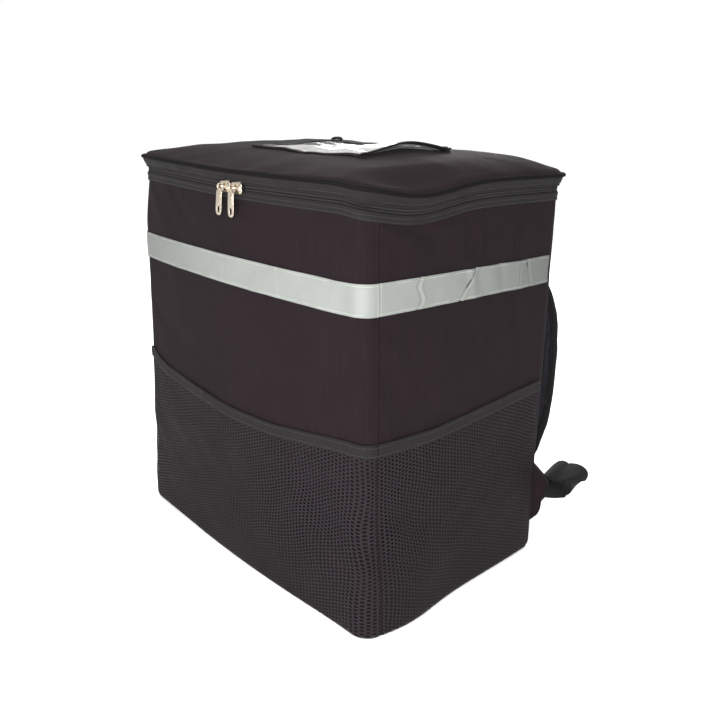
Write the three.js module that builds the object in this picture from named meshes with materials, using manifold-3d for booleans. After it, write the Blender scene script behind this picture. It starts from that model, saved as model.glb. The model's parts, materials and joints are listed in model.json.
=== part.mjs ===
// Insulated delivery backpack, zipped shut and standing on its base.
// A padded cloth box with a domed lid. The lid is joined to the box by a zipper round the front and
// sides and by a cloth hinge at the back. A reflective tape runs round the front and sides, tight net
// pockets cover the lower part of three sides, and a clear window pocket lies on the lid. Two padded
// shoulder straps hang at the back, with webbing loops at its lower corners. Two metal pulls swing on
// the zipper's sliders.
//
// Millimetres. +X is the wearer's left, -Y is the front with the sliders, +Z is up. The origin is at
// the middle of the base of the whole part's box.

import * as THREE from "three";
import { mergeVertices } from "three/addons/utils/BufferGeometryUtils.js";
import Module from "manifold-3d";

const wasm = await Module();
wasm.setup();

// Padded box
const WIDTH_TOP = 392;
const WIDTH_BASE = 420;
const DEPTH_TOP = 302;
const DEPTH_BASE = 291;
const BODY_HEIGHT = 431.7;
const WALL = 6;
const BODY_CORNER = 18;
const BASE_EDGE = 9;
const FRONT_BOW = 9.8;
const SIDE_BOW = 2.8;
const BACK_BOW = 2;
const DENT_DEPTH = 4;

// Clearance that touching pieces keep
const GAP = 0.3;
const CLOTH = 1.2;

// Zipper, from the top edge of the padded wall upwards
const CHAIN_HEIGHT = 6;
const CHAIN_BACK = 2.4;
const CHAIN_FRONT = 0.9;
const LOWER_TAPE = 8.1;
const UPPER_TAPE = 6.3;
const ZIP_RETURN = 30;

// Lid
const BAND_HEIGHT = 8.8;
const BAND_THICK = 2.4;
const BAND_FOOT_OUT = 2.6;
const PIPING_RADIUS = 2.4;
const LID_OVERHANG = 8;
const LID_CORNER = 31;
const LID_WALL = 5;
const LID_RISE = 17.4;
const LID_FLAT_X = 7.8;
const LID_FLAT_Y = 4.7;
const LID_TILT = 0.3;

// Sag of the zipped rim on the right side, just behind the front corner
const SAG_DEPTH = 10;
const SAG_CENTRE = -0.56;
const SAG_SPREAD = 0.38;
const SAG_START = 0.85;

// Reflective tape
const TAPE_BOTTOM = 334;
const TAPE_HEIGHT = 30;
const TAPE_THICK = 1;

// Net pockets
const POCKET_FOOT = 3;
const POCKET_TOP = 212;
const POCKET_NET = 1.2;
const POCKET_BINDING = 12.5;
const BINDING_THICK = 1.8;

// Window pocket on the lid
const WINDOW_WIDTH = 186;
const WINDOW_DEPTH = 128;
const WINDOW_X = 28;
const WINDOW_Y = -18;
const WINDOW_BORDER = 7;
const WINDOW_BORDER_THICK = 1.5;
const FILM = 1;
const FILM_LIFT = 9.5;
const LIP_WIDTH = 6;
const LIP_THICK = 1.8;

// Sliders and pulls
const SLIDER_X = 21.3;
const SLIDER_PITCH = 19.6;
const SLIDER_LENGTH = 18.6;
const SLIDER_TALL = 12.4;
const SLIDER_PLATE = 1.7;
const SLIDER_CORNER = 3;
const SLIDER_BLOCK_CORNER = 1.5;
const SLIDER_REACH = 4.3;
const CROWN_RADIUS = 3.6;
const CROWN_X = 5.6;
const BAIL_BAR = 2;
const BAIL_SPAN = 7.4;
const BAIL_X = -3.2;
const BAIL_WIDE = 2.2;
const BAIL_CHAMFER = 1;
const JOIN_LAP = 0.5;
const EYE_INNER = 1.75;
const EYE_WALL = 1.45;
const EYE_THICK = 2.2;
const EYE_CLEAR = 0.45;
const PULL_LENGTH = 29;
const PULL_WIDTH = 10;
const PULL_THICK = 1.6;
const PULL_NECK = 6.4;
const PULL_NECK_DROP = 1.5;
const PULL_SHOULDER_DROP = 2.5;
const PULL_TIP = 4;
const PULL_HOLE = 4;
const PULL_HOLE_LONG = 6;
const PULL_RIM = 2.6;

// Shoulder straps
const STRAP_WIDTH = 66;
const STRAP_THICK = 12;
const STRAP_STANDOFF = 75;
const STRAP_DROP = 19.7;
const STRAP_END = 84;
const STRAP_INSET = 78;

// Adjusters, webbing and wings at the lower corners of the back
const LOCK_CLEAR = 0.6;
const LOCK_LENGTH = 24;
const LOCK_THICK = 5;
const LOCK_BAR = 4.5;
const LOCK_CORNER = 3;
const WEBBING_WIDTH = 38;
const WEBBING_THICK = 2;
const LOCK_WIDTH = WEBBING_WIDTH + 2 * (LOCK_BAR + LOCK_CLEAR);
const WING_THICK = 5;
const WING_REACH = 20;
const WING_FOOT = 32;
const WING_TALL = 80;
const WING_LEAN = 1.2;
const LOOP_REACH = 28.5;
const LOOP_SWING = 20;
const LOOP_RISE = 20;

// How many steps each stretch is drawn with
const FACE_STEPS = 8;
const CORNER_STEPS = 4;
const ROUND_SIDES = 12;
const SPHERE_RINGS = 8;
const FLAT_SPANS = 4;
const RINGS_PER_ROW = 3;

const bodyLevel = { chain: BODY_HEIGHT + GAP };
bodyLevel.chainTop = bodyLevel.chain + CHAIN_HEIGHT;
bodyLevel.upperTape = bodyLevel.chainTop + GAP;
bodyLevel.bandFoot = bodyLevel.upperTape + 2 * GAP;
bodyLevel.bandTop = bodyLevel.bandFoot + BAND_HEIGHT;
bodyLevel.piping = bodyLevel.bandTop + GAP + PIPING_RADIUS;
bodyLevel.zip = bodyLevel.chain + CHAIN_HEIGHT / 2;

// Materials, one for each finish
const finish = (color, roughness, metalness) =>
  new THREE.MeshStandardMaterial({ color, roughness, metalness });
const BODY_CLOTH = finish(0x37302f, 0.85, 0);
const TRIM_CLOTH = finish(0x2e2e2b, 0.8, 0);
const ZIP_TAPE = finish(0x30302d, 0.8, 0);
const ZIP_COIL = finish(0x3a3a38, 0.5, 0);
const SILVER_TAPE = finish(0xb4bab2, 0.45, 0.1);
const NET = finish(0x2b292b, 0.7, 0);
const CLEAR_FILM = finish(0xd5d8d4, 0.15, 0);
const NICKEL = finish(0xb5a68e, 0.25, 1);
const STRAP_CLOTH = finish(0x222124, 0.9, 0);
const WEBBING = finish(0x26262a, 0.75, 0);
const HARD_PLASTIC = finish(0x1c1c1e, 0.45, 0);

const mix = (low, high, share) => low + (high - low) * share;

const smooth = (low, high, value) => {
  const share = Math.min(1, Math.max(0, (value - low) / (high - low)));
  return share * share * (3 - 2 * share);
};

// Faces of the box in order round it, each with the way it runs and the way it looks
const FACES = {
  front: { along: [1, 0], normal: [0, -1], bow: FRONT_BOW },
  right: { along: [0, 1], normal: [1, 0], bow: SIDE_BOW },
  back: { along: [-1, 0], normal: [0, 1], bow: BACK_BOW },
  left: { along: [0, -1], normal: [-1, 0], bow: SIDE_BOW },
};

// Shallow buckles of the right side near the reflective tape, with depths as shares of DENT_DEPTH
const DENTS = [
  { face: "right", along: -0.06, height: 0.81, spreadAlong: 0.2, spreadUp: 0.09, depth: 1 },
  { face: "right", along: -0.5, height: 0.93, spreadAlong: 0.3, spreadUp: 0.07, depth: 0.75 },
];

const faceRun = (face, from, to, steps = FACE_STEPS) =>
  Array.from({ length: steps + 1 }, (_, i) => ({ face, u: mix(from, to, i / steps), turn: 0 }));

const cornerRun = (face) =>
  Array.from({ length: CORNER_STEPS - 1 }, (_, i) => ({
    face,
    u: 1,
    turn: ((i + 1) / CORNER_STEPS) * (Math.PI / 2),
  }));

const halfSizes = (height) => {
  const share = height / BODY_HEIGHT;
  return { x: mix(WIDTH_BASE, WIDTH_TOP, share) / 2, y: mix(DEPTH_BASE, DEPTH_TOP, share) / 2 };
};

// Point on a rounded rectangle with bowed faces, moved out by a distance
const outline = (station, half, corner, bowShare, out) => {
  const { along, normal, bow } = FACES[station.face];
  const reach = Math.abs(along[0]) * half.x + Math.abs(along[1]) * half.y - corner;
  const stand = Math.abs(normal[0]) * half.x + Math.abs(normal[1]) * half.y;
  let onFace = station.u * reach;
  let offFace = stand + bow * bowShare * (1 - station.u ** 2) + out;
  if (station.turn > 0) {
    onFace = reach + (corner + out) * Math.sin(station.turn);
    offFace = stand - corner + (corner + out) * Math.cos(station.turn);
  }
  return [along[0] * onFace + normal[0] * offFace, along[1] * onFace + normal[1] * offFace];
};

const sag = (x, y) => {
  const half = halfSizes(BODY_HEIGHT);
  const away = (y / half.y - SAG_CENTRE) / SAG_SPREAD;
  return SAG_DEPTH * Math.exp(-away * away) * smooth(SAG_START, 1, x / half.x);
};

const dent = (station, height) => {
  let depth = 0;
  for (const row of DENTS) {
    if (row.face !== station.face || station.turn > 0) continue;
    const alongAway = (station.u - row.along) / row.spreadAlong;
    const upAway = (height / BODY_HEIGHT - row.height) / row.spreadUp;
    const edge = 1 - station.u ** 2;
    depth += DENT_DEPTH * row.depth * edge * Math.exp(-alongAway * alongAway - upAway * upAway);
  }
  return depth;
};

// Point on the padded wall at a height, moved out along its normal
const wallPoint = (station, height, out) => {
  const lift = Math.max(0, BASE_EDGE - height) / BASE_EDGE;
  const tilt = Math.asin(Math.min(1, lift));
  const inset = BASE_EDGE * (1 - Math.cos(tilt));
  const offset = out * Math.cos(tilt) - inset - dent(station, height);
  const [x, y] = outline(station, halfSizes(height), BODY_CORNER, 1, offset);
  const drop = sag(x, y) * smooth(TAPE_BOTTOM + TAPE_HEIGHT, BODY_HEIGHT, height);
  return new THREE.Vector3(x, y, height - out * Math.sin(tilt) - drop);
};

// Heights of the wall's rings: the rounded base edge, then the wall up to its rim
const baseLevels = [90, 60, 30].map((angle) => {
  return BASE_EDGE * (1 - Math.sin(THREE.MathUtils.degToRad(angle)));
});
const wallLevels = [
  ...baseLevels,
  BASE_EDGE,
  ...[0.25, 0.5, 0.7].map((share) => mix(BASE_EDGE, BODY_HEIGHT, share)),
  TAPE_BOTTOM,
  TAPE_BOTTOM + TAPE_HEIGHT / 2,
  TAPE_BOTTOM + TAPE_HEIGHT,
  ...[0.33, 0.66].map((share) =>
    mix(TAPE_BOTTOM + TAPE_HEIGHT, BODY_HEIGHT - LOWER_TAPE, share),
  ),
  BODY_HEIGHT - LOWER_TAPE,
  BODY_HEIGHT,
];

// Point on the wall as it is drawn, straight between the rings
const seatPoint = (station, height, out) => {
  const next = Math.max(1, wallLevels.findIndex((level) => level >= height - 1e-6));
  const share = (height - wallLevels[next - 1]) / (wallLevels[next] - wallLevels[next - 1]);
  const low = wallPoint(station, wallLevels[next - 1], out);
  return low.lerp(wallPoint(station, wallLevels[next], out), share);
};

// Point at a level above the padded wall, on the zipper or the lid's edge
const lidPoint = (station, height, out) => {
  const share = smooth(bodyLevel.bandFoot, bodyLevel.piping, height);
  const corner = mix(BODY_CORNER, LID_CORNER - LID_OVERHANG, share);
  const [x, y] = outline(station, halfSizes(BODY_HEIGHT), corner, 1, out);
  return new THREE.Vector3(x, y, height - sag(x, y));
};

const lidTop = (x, y) => {
  const half = halfSizes(BODY_HEIGHT);
  const shareX = Math.min(1, Math.abs(x) / (half.x + LID_OVERHANG));
  const shareY = Math.min(1, Math.abs(y) / (half.y + LID_OVERHANG));
  const crown = (1 - shareX ** LID_FLAT_X) * (1 - shareY ** LID_FLAT_Y);
  const rise = LID_RISE * crown * (1 + (LID_TILT * y) / half.y);
  return bodyLevel.piping - PIPING_RADIUS + LID_WALL + rise - sag(x, y);
};

// Closed surface from triangles, with its faces turned out
const solid = (points, triangles) => {
  const volume = triangles.reduce((sum, [a, b, c]) => {
    const cross = new THREE.Vector3().crossVectors(points[b], points[c]);
    return sum + points[a].dot(cross);
  }, 0);
  const turned = volume < 0 ? triangles.map(([a, b, c]) => [a, c, b]) : triangles;
  const geometry = new THREE.BufferGeometry();
  geometry.setAttribute(
    "position",
    new THREE.Float32BufferAttribute(points.flatMap((p) => [p.x, p.y, p.z]), 3),
  );
  geometry.setIndex(turned.flat());
  return geometry;
};

// Skin over rings of points, each ring closed, with a middle point at both ends
const loft = (rings) => {
  const count = rings[0].length;
  const points = rings.flat();
  const triangles = [];
  for (let i = 0; i < rings.length - 1; i += 1) {
    for (let j = 0; j < count; j += 1) {
      const a = i * count + j;
      const b = i * count + ((j + 1) % count);
      triangles.push([a, b, b + count], [a, b + count, a + count]);
    }
  }
  const cap = (first, ring) => {
    const middle = points.length;
    const centre = new THREE.Vector3();
    ring.forEach((p) => centre.addScaledVector(p, 1 / count));
    points.push(centre);
    for (let j = 0; j < count; j += 1) {
      const a = first + j;
      const b = first + ((j + 1) % count);
      triangles.push(first === 0 ? [b, a, middle] : [a, b, middle]);
    }
  };
  cap(0, rings[0]);
  cap((rings.length - 1) * count, rings[rings.length - 1]);
  return solid(points, triangles);
};

// Strip of cloth: columns of paired outer and inner points, closed round or with two ends
const strip = (columns, round = false) => {
  const rows = columns[0].outer.length;
  const count = rows * 2;
  const points = columns.flatMap(({ outer, inner }) => [...outer, ...inner.slice().reverse()]);
  const triangles = [];
  const last = round ? columns.length : columns.length - 1;
  for (let i = 0; i < last; i += 1) {
    const here = i * count;
    const there = ((i + 1) % columns.length) * count;
    for (let j = 0; j < count; j += 1) {
      const k = (j + 1) % count;
      triangles.push([here + j, here + k, there + k], [here + j, there + k, there + j]);
    }
  }
  if (!round) {
    const end = (columns.length - 1) * count;
    for (let j = 0; j < rows - 1; j += 1) {
      const a = j;
      const b = j + 1;
      const c = count - 2 - j;
      const d = count - 1 - j;
      triangles.push([b, a, d], [b, d, c]);
      triangles.push([end + a, end + b, end + c], [end + a, end + c, end + d]);
    }
  }
  return solid(points, triangles);
};

// Joins and cuts of hard pieces
const toManifold = (geometry) => {
  const bare = geometry.clone();
  bare.deleteAttribute("normal");
  bare.deleteAttribute("uv");
  const merged = mergeVertices(bare, 1e-4);
  return new wasm.Manifold(
    new wasm.Mesh({
      numProp: 3,
      vertProperties: new Float32Array(merged.attributes.position.array),
      triVerts: new Uint32Array(merged.index.array),
    }),
  );
};

const fromManifold = (body) => {
  const mesh = body.getMesh();
  const geometry = new THREE.BufferGeometry();
  geometry.setAttribute("position", new THREE.Float32BufferAttribute(mesh.vertProperties, 3));
  geometry.setIndex(Array.from(mesh.triVerts));
  return geometry;
};

const join = (...pieces) =>
  fromManifold(pieces.map(toManifold).reduce((whole, piece) => whole.add(piece)));

const group = new THREE.Group();

const addPiece = (name, geometry, material) => {
  const mesh = new THREE.Mesh(geometry, material);
  mesh.name = name;
  group.add(mesh);
  return mesh;
};

// Whole way round the box, starting at the back face's end beside the left side
const allRound = [
  ...cornerRun("back"),
  ...faceRun("left", -1, 1),
  ...cornerRun("left"),
  ...faceRun("front", -1, 1),
  ...cornerRun("front"),
  ...faceRun("right", -1, 1),
  ...cornerRun("right"),
  ...faceRun("back", -1, 1),
];

const threeSides = [
  ...faceRun("left", -1, 1),
  ...cornerRun("left"),
  ...faceRun("front", -1, 1),
  ...cornerRun("front"),
  ...faceRun("right", -1, 1),
];

// The zipper goes a little way round onto the back, and the cloth hinge fills the rest
const backReach = WIDTH_TOP / 2 - BODY_CORNER;
const zipEnd = 1 - ZIP_RETURN / backReach;
const zipRun = [
  ...faceRun("back", zipEnd, 1, 2),
  ...cornerRun("back"),
  ...threeSides,
  ...cornerRun("right"),
  ...faceRun("back", -1, -zipEnd, 2),
];
const hingeEnd = zipEnd - GAP / backReach;
const hingeRun = faceRun("back", -hingeEnd, hingeEnd);

// Padded box, open at the top
const outerRings = wallLevels.map((height) => {
  return allRound.map((station) => wallPoint(station, height, 0));
});
const innerRings = wallLevels.toReversed().map((height) => {
  return allRound.map((station) => wallPoint(station, height, -WALL));
});
addPiece("body_shell", loft([...outerRings, ...innerRings]), BODY_CLOTH);

// Strips on the wall, following its rings between the strip's two edges
const wallStrip = (run, edges, seat, thick) =>
  strip(
    run.map((station) => {
      const heights = edges(station);
      return {
        outer: heights.map((height) => seatPoint(station, height, seat + thick)),
        inner: heights.map((height) => seatPoint(station, height, seat)),
      };
    }),
  );

const tapeHeights = [0, 0.5, 1].map((share) => TAPE_BOTTOM + TAPE_HEIGHT * share);
addPiece(
  "reflective_tape",
  wallStrip(threeSides, () => tapeHeights, GAP, TAPE_THICK),
  SILVER_TAPE,
);

// Zipper
const lidStrip = (run, low, high, inner, outer, round = false) =>
  strip(
    run.map((station) => ({
      outer: [lidPoint(station, low, outer), lidPoint(station, high, outer)],
      inner: [lidPoint(station, low, inner), lidPoint(station, high, inner)],
    })),
    round,
  );

addPiece(
  "zipper_tape_lower",
  wallStrip(zipRun, () => [BODY_HEIGHT - LOWER_TAPE, BODY_HEIGHT], GAP, CLOTH),
  ZIP_TAPE,
);
addPiece(
  "zipper_chain",
  lidStrip(zipRun, bodyLevel.chain, bodyLevel.chainTop, -CHAIN_BACK, CHAIN_FRONT),
  ZIP_COIL,
);
addPiece(
  "zipper_tape_upper",
  lidStrip(
    zipRun,
    bodyLevel.upperTape,
    bodyLevel.upperTape + UPPER_TAPE,
    BAND_FOOT_OUT - BAND_THICK - GAP - CLOTH,
    BAND_FOOT_OUT - BAND_THICK - GAP,
  ),
  ZIP_TAPE,
);
addPiece(
  "lid_hinge",
  strip(
    hingeRun.map((station) => ({
      outer: [
        wallPoint(station, BODY_HEIGHT - LOWER_TAPE, GAP + CLOTH),
        wallPoint(station, BODY_HEIGHT, GAP + CLOTH),
        lidPoint(station, bodyLevel.bandFoot - GAP, GAP + CLOTH),
      ],
      inner: [
        wallPoint(station, BODY_HEIGHT - LOWER_TAPE, GAP),
        wallPoint(station, BODY_HEIGHT, GAP),
        lidPoint(station, bodyLevel.bandFoot - GAP, GAP),
      ],
    })),
  ),
  TRIM_CLOTH,
);

// Lid: a sloping band, a piped edge and a padded dome
addPiece(
  "lid_band",
  strip(
    allRound.map((station) => ({
      outer: [
        lidPoint(station, bodyLevel.bandFoot, BAND_FOOT_OUT),
        lidPoint(station, bodyLevel.bandTop, LID_OVERHANG),
      ],
      inner: [
        lidPoint(station, bodyLevel.bandFoot, BAND_FOOT_OUT - BAND_THICK),
        lidPoint(station, bodyLevel.bandTop, LID_OVERHANG - BAND_THICK),
      ],
    })),
    true,
  ),
  TRIM_CLOTH,
);

const pipingHalf = [-1, 0, 1].map((step) => (step * Math.PI) / 3);
addPiece(
  "lid_piping",
  strip(
    allRound.map((station) => {
      const ring = (side) =>
        pipingHalf.map((angle) =>
          lidPoint(
            station,
            bodyLevel.piping + PIPING_RADIUS * Math.sin(angle),
            LID_OVERHANG + side * PIPING_RADIUS * Math.cos(angle),
          ),
        );
      return { outer: ring(1), inner: ring(-1) };
    }),
    true,
  ),
  TRIM_CLOTH,
);

const lidEdge = LID_OVERHANG - PIPING_RADIUS - GAP;
const lidShares = [0.25, 0.5, 0.68, 0.82, 0.92, 1];
const lidRing = (share, depth) =>
  allRound.map((station) => {
    const edge = lidPoint(station, bodyLevel.piping, lidEdge);
    const x = edge.x * share;
    const y = edge.y * share;
    return new THREE.Vector3(x, y, lidTop(x, y) - depth);
  });
const lidTopRings = lidShares.map((share) => lidRing(share, 0));
const lidUnderRings = lidShares.map((share) => lidRing(share, LID_WALL)).reverse();
addPiece("lid_panel", loft([...lidTopRings, ...lidUnderRings]), BODY_CLOTH);

// Net pockets: how high the bound top edge runs, as shares along each stretch
const POCKET_LINES = {
  front: [
    { along: -1, rise: 0.03 },
    { along: -0.85, rise: -0.03 },
    { along: 0, rise: -0.085 },
    { along: 0.55, rise: -0.05 },
    { along: 1, rise: 0 },
  ],
  right: [
    { along: -1, rise: -0.01 },
    { along: -0.4, rise: -0.02 },
    { along: 0.2, rise: 0.005 },
    { along: 1, rise: 0.03 },
  ],
};
POCKET_LINES.left = POCKET_LINES.right.map(({ along, rise }) => ({ along: -along, rise })).reverse();

const pocketTop = (station) => {
  const face = station.turn > 0 ? "front" : station.face;
  const along = station.turn > 0 ? (station.face === "front" ? 1 : -1) : station.u;
  const rows = POCKET_LINES[face];
  const next = Math.max(1, rows.findIndex((row) => row.along >= along));
  const [a, b] = [rows[next - 1], rows[next]];
  const share = (along - a.along) / (b.along - a.along);
  return POCKET_TOP * (1 + mix(a.rise, b.rise, share));
};

const sideReach = DEPTH_TOP / 2 - BODY_CORNER;
const seamEnd = 1 - (2 * GAP) / sideReach;
const seamTurn = (0.5 * GAP) / BODY_CORNER;
const frontPocketRun = [
  { face: "left", u: 1, turn: seamTurn },
  ...cornerRun("left"),
  ...faceRun("front", -1, 1),
  ...cornerRun("front"),
  { face: "front", u: 1, turn: Math.PI / 2 - seamTurn },
];
const pocketRuns = {
  front: frontPocketRun,
  right: faceRun("right", -seamEnd, 1),
  left: faceRun("left", -1, seamEnd),
};
for (const [side, run] of Object.entries(pocketRuns)) {
  const bindingFoot = (station) => pocketTop(station) - POCKET_BINDING;
  const netHeights = (station) => [
    POCKET_FOOT,
    BASE_EDGE * 0.5,
    BASE_EDGE,
    mix(BASE_EDGE, bindingFoot(station) - GAP, 0.5),
    bindingFoot(station) - GAP,
  ];
  addPiece(`net_pocket_${side}`, wallStrip(run, netHeights, GAP, POCKET_NET), NET);
  const bindingHeights = (station) => [bindingFoot(station), pocketTop(station)];
  addPiece(
    `pocket_binding_${side}`,
    wallStrip(run, bindingHeights, GAP, BINDING_THICK),
    TRIM_CLOTH,
  );
}

// Window pocket on the lid, open along its right-hand edge
const lidSurface = (x, y, up) => new THREE.Vector3(x, y, lidTop(x, y) + GAP + up);
const windowEdge = {
  left: WINDOW_X - WINDOW_WIDTH / 2,
  right: WINDOW_X + WINDOW_WIDTH / 2,
  front: WINDOW_Y - WINDOW_DEPTH / 2,
  back: WINDOW_Y + WINDOW_DEPTH / 2,
};
const WINDOW_STEPS = 6;
const windowCorners = [
  { x: windowEdge.left, y: windowEdge.front, inX: 1, inY: 1 },
  { x: windowEdge.right, y: windowEdge.front, inX: -1, inY: 1 },
  { x: windowEdge.right, y: windowEdge.back, inX: -1, inY: -1 },
  { x: windowEdge.left, y: windowEdge.back, inX: 1, inY: -1 },
];
const borderColumns = windowCorners.flatMap((from, i) => {
  const to = windowCorners[(i + 1) % windowCorners.length];
  return Array.from({ length: WINDOW_STEPS }, (_, step) => {
    const share = step / WINDOW_STEPS;
    const outside = [mix(from.x, to.x, share), mix(from.y, to.y, share)];
    const inside = [
      mix(from.x + from.inX * WINDOW_BORDER, to.x + to.inX * WINDOW_BORDER, share),
      mix(from.y + from.inY * WINDOW_BORDER, to.y + to.inY * WINDOW_BORDER, share),
    ];
    return {
      outer: [lidSurface(...outside, 0), lidSurface(...outside, WINDOW_BORDER_THICK)],
      inner: [lidSurface(...inside, 0), lidSurface(...inside, WINDOW_BORDER_THICK)],
    };
  });
});
addPiece("window_border", strip(borderColumns, true), TRIM_CLOTH);

// The film lies inside the border on three sides and arches up over it at the mouth
const filmLeft = windowEdge.left + WINDOW_BORDER + GAP;
const filmRight = windowEdge.right - LIP_WIDTH - GAP;
const filmHalf = WINDOW_DEPTH / 2 - WINDOW_BORDER - GAP;
const filmLift = (shareX, shareY) => {
  const overBorder = WINDOW_BORDER_THICK + GAP;
  const arch = FILM_LIFT * Math.cos((shareY * Math.PI) / 2) ** 0.8;
  return smooth(0.3, 0.93, shareX) * mix(overBorder, Math.max(overBorder, arch), shareX);
};
const FILM_ROWS = [-1, -0.7, -0.35, 0, 0.35, 0.7, 1];
const FILM_COLUMNS = [0, 0.3, 0.5, 0.65, 0.8, 0.93, 1];
const filmPoint = (shareX, shareY, up) => {
  const x = mix(filmLeft, filmRight, shareX);
  const y = WINDOW_Y + shareY * filmHalf;
  return lidSurface(x, y, filmLift(shareX, shareY) + up);
};
addPiece(
  "window_film",
  strip(
    FILM_COLUMNS.map((shareX) => ({
      outer: FILM_ROWS.map((shareY) => filmPoint(shareX, shareY, FILM)),
      inner: FILM_ROWS.map((shareY) => filmPoint(shareX, shareY, 0)),
    })),
  ),
  CLEAR_FILM,
);
const lipPoint = (side, shareY, up) => {
  const x = filmRight + GAP + side * LIP_WIDTH;
  const y = WINDOW_Y + shareY * (WINDOW_DEPTH / 2);
  return lidSurface(x, y, filmLift(1, shareY * (filmHalf / (WINDOW_DEPTH / 2))) + up);
};
addPiece(
  "window_lip",
  strip(
    FILM_ROWS.map((shareY) => ({
      outer: [lipPoint(0, shareY, LIP_THICK), lipPoint(1, shareY, LIP_THICK)],
      inner: [lipPoint(0, shareY, 0), lipPoint(1, shareY, 0)],
    })),
  ),
  TRIM_CLOTH,
);

// Hard pieces: outlines drawn in a plane and pushed out by a thickness
const extrude = (shape, depth) =>
  new THREE.ExtrudeGeometry(shape, { depth, bevelEnabled: false, curveSegments: 5 });

const roundedBox = (width, height, corner) => {
  const shape = new THREE.Shape();
  shape.moveTo(-width / 2 + corner, -height / 2);
  shape.lineTo(width / 2 - corner, -height / 2);
  shape.quadraticCurveTo(width / 2, -height / 2, width / 2, -height / 2 + corner);
  shape.lineTo(width / 2, height / 2 - corner);
  shape.quadraticCurveTo(width / 2, height / 2, width / 2 - corner, height / 2);
  shape.lineTo(-width / 2 + corner, height / 2);
  shape.quadraticCurveTo(-width / 2, height / 2, -width / 2, height / 2 - corner);
  shape.lineTo(-width / 2, -height / 2 + corner);
  shape.quadraticCurveTo(-width / 2, -height / 2, -width / 2 + corner, -height / 2);
  return shape;
};

// Slider: local X along the zipper, local Y up, local Z away from the cloth
const sliderBlockTop = SLIDER_REACH - CHAIN_FRONT - GAP;
const plateTop = sliderBlockTop + SLIDER_PLATE;
const hingeStand = plateTop + EYE_INNER + EYE_WALL + EYE_CLEAR;

const sliderGeometry = () => {
  const block = extrude(
    roundedBox(SLIDER_LENGTH * 0.86, CHAIN_HEIGHT, SLIDER_BLOCK_CORNER),
    sliderBlockTop + JOIN_LAP,
  );
  const plate = extrude(roundedBox(SLIDER_LENGTH, SLIDER_TALL, SLIDER_CORNER), SLIDER_PLATE);
  plate.translate(0, 0, sliderBlockTop);
  const crown = new THREE.SphereGeometry(CROWN_RADIUS, ROUND_SIDES, SPHERE_RINGS);
  crown.translate(CROWN_X, 0, plateTop + CROWN_RADIUS * 0.35);
  const arch = new THREE.Shape();
  const footLeft = BAIL_X - BAIL_SPAN / 2 - BAIL_BAR;
  const footRight = BAIL_X + BAIL_SPAN / 2 + BAIL_BAR;
  const barLow = hingeStand - BAIL_BAR / 2;
  const barHigh = hingeStand + BAIL_BAR / 2;
  arch.moveTo(footLeft, plateTop - JOIN_LAP);
  arch.lineTo(footLeft + BAIL_BAR, plateTop - JOIN_LAP);
  arch.lineTo(footLeft + BAIL_BAR, barLow);
  arch.lineTo(footRight - BAIL_BAR, barLow);
  arch.lineTo(footRight - BAIL_BAR, plateTop - JOIN_LAP);
  arch.lineTo(footRight, plateTop - JOIN_LAP);
  arch.lineTo(footRight, barHigh - BAIL_CHAMFER);
  arch.lineTo(footRight - BAIL_CHAMFER, barHigh);
  arch.lineTo(footLeft + BAIL_CHAMFER, barHigh);
  arch.lineTo(footLeft, barHigh - BAIL_CHAMFER);
  const bail = extrude(arch, BAIL_WIDE);
  bail.translate(0, 0, -BAIL_WIDE / 2);
  bail.rotateX(Math.PI / 2);
  return join(block, plate, crown, bail);
};

// Pull: local X across the tab, local Y down its length, local Z away from the cloth
const pullGeometry = () => {
  const eyeRadius = EYE_INNER + EYE_WALL;
  const ring = new THREE.Shape();
  ring.absarc(0, 0, eyeRadius, 0, Math.PI * 2);
  const bore = new THREE.Path();
  bore.absarc(0, 0, EYE_INNER, 0, Math.PI * 2, true);
  ring.holes.push(bore);
  const eye = new THREE.ExtrudeGeometry(ring, {
    depth: EYE_THICK,
    bevelEnabled: false,
    curveSegments: ROUND_SIDES / 2,
  });
  eye.translate(0, 0, -EYE_THICK / 2);
  eye.rotateY(Math.PI / 2);
  const half = PULL_WIDTH / 2;
  const shoulder = -eyeRadius - PULL_SHOULDER_DROP;
  const root = -EYE_INNER - EYE_WALL * 0.5;
  const tab = new THREE.Shape();
  tab.moveTo(-EYE_THICK / 2, root);
  tab.lineTo(-PULL_NECK / 2, root - PULL_NECK_DROP);
  tab.lineTo(-half * 0.92, shoulder);
  tab.lineTo(-half, -PULL_LENGTH + PULL_TIP);
  tab.quadraticCurveTo(-half * 0.9, -PULL_LENGTH, 0, -PULL_LENGTH);
  tab.quadraticCurveTo(half * 0.9, -PULL_LENGTH, half, -PULL_LENGTH + PULL_TIP);
  tab.lineTo(half * 0.92, shoulder);
  tab.lineTo(PULL_NECK / 2, root - PULL_NECK_DROP);
  tab.lineTo(EYE_THICK / 2, root);
  const holeMiddle = -PULL_LENGTH + PULL_RIM + PULL_HOLE_LONG / 2;
  const hole = new THREE.Path();
  hole.absellipse(0, holeMiddle, PULL_HOLE / 2, PULL_HOLE_LONG / 2, 0, Math.PI * 2, true);
  tab.holes.push(hole);
  const plate = extrude(tab, PULL_THICK);
  plate.translate(0, 0, -PULL_THICK / 2);
  return join(eye, plate);
};

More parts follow.
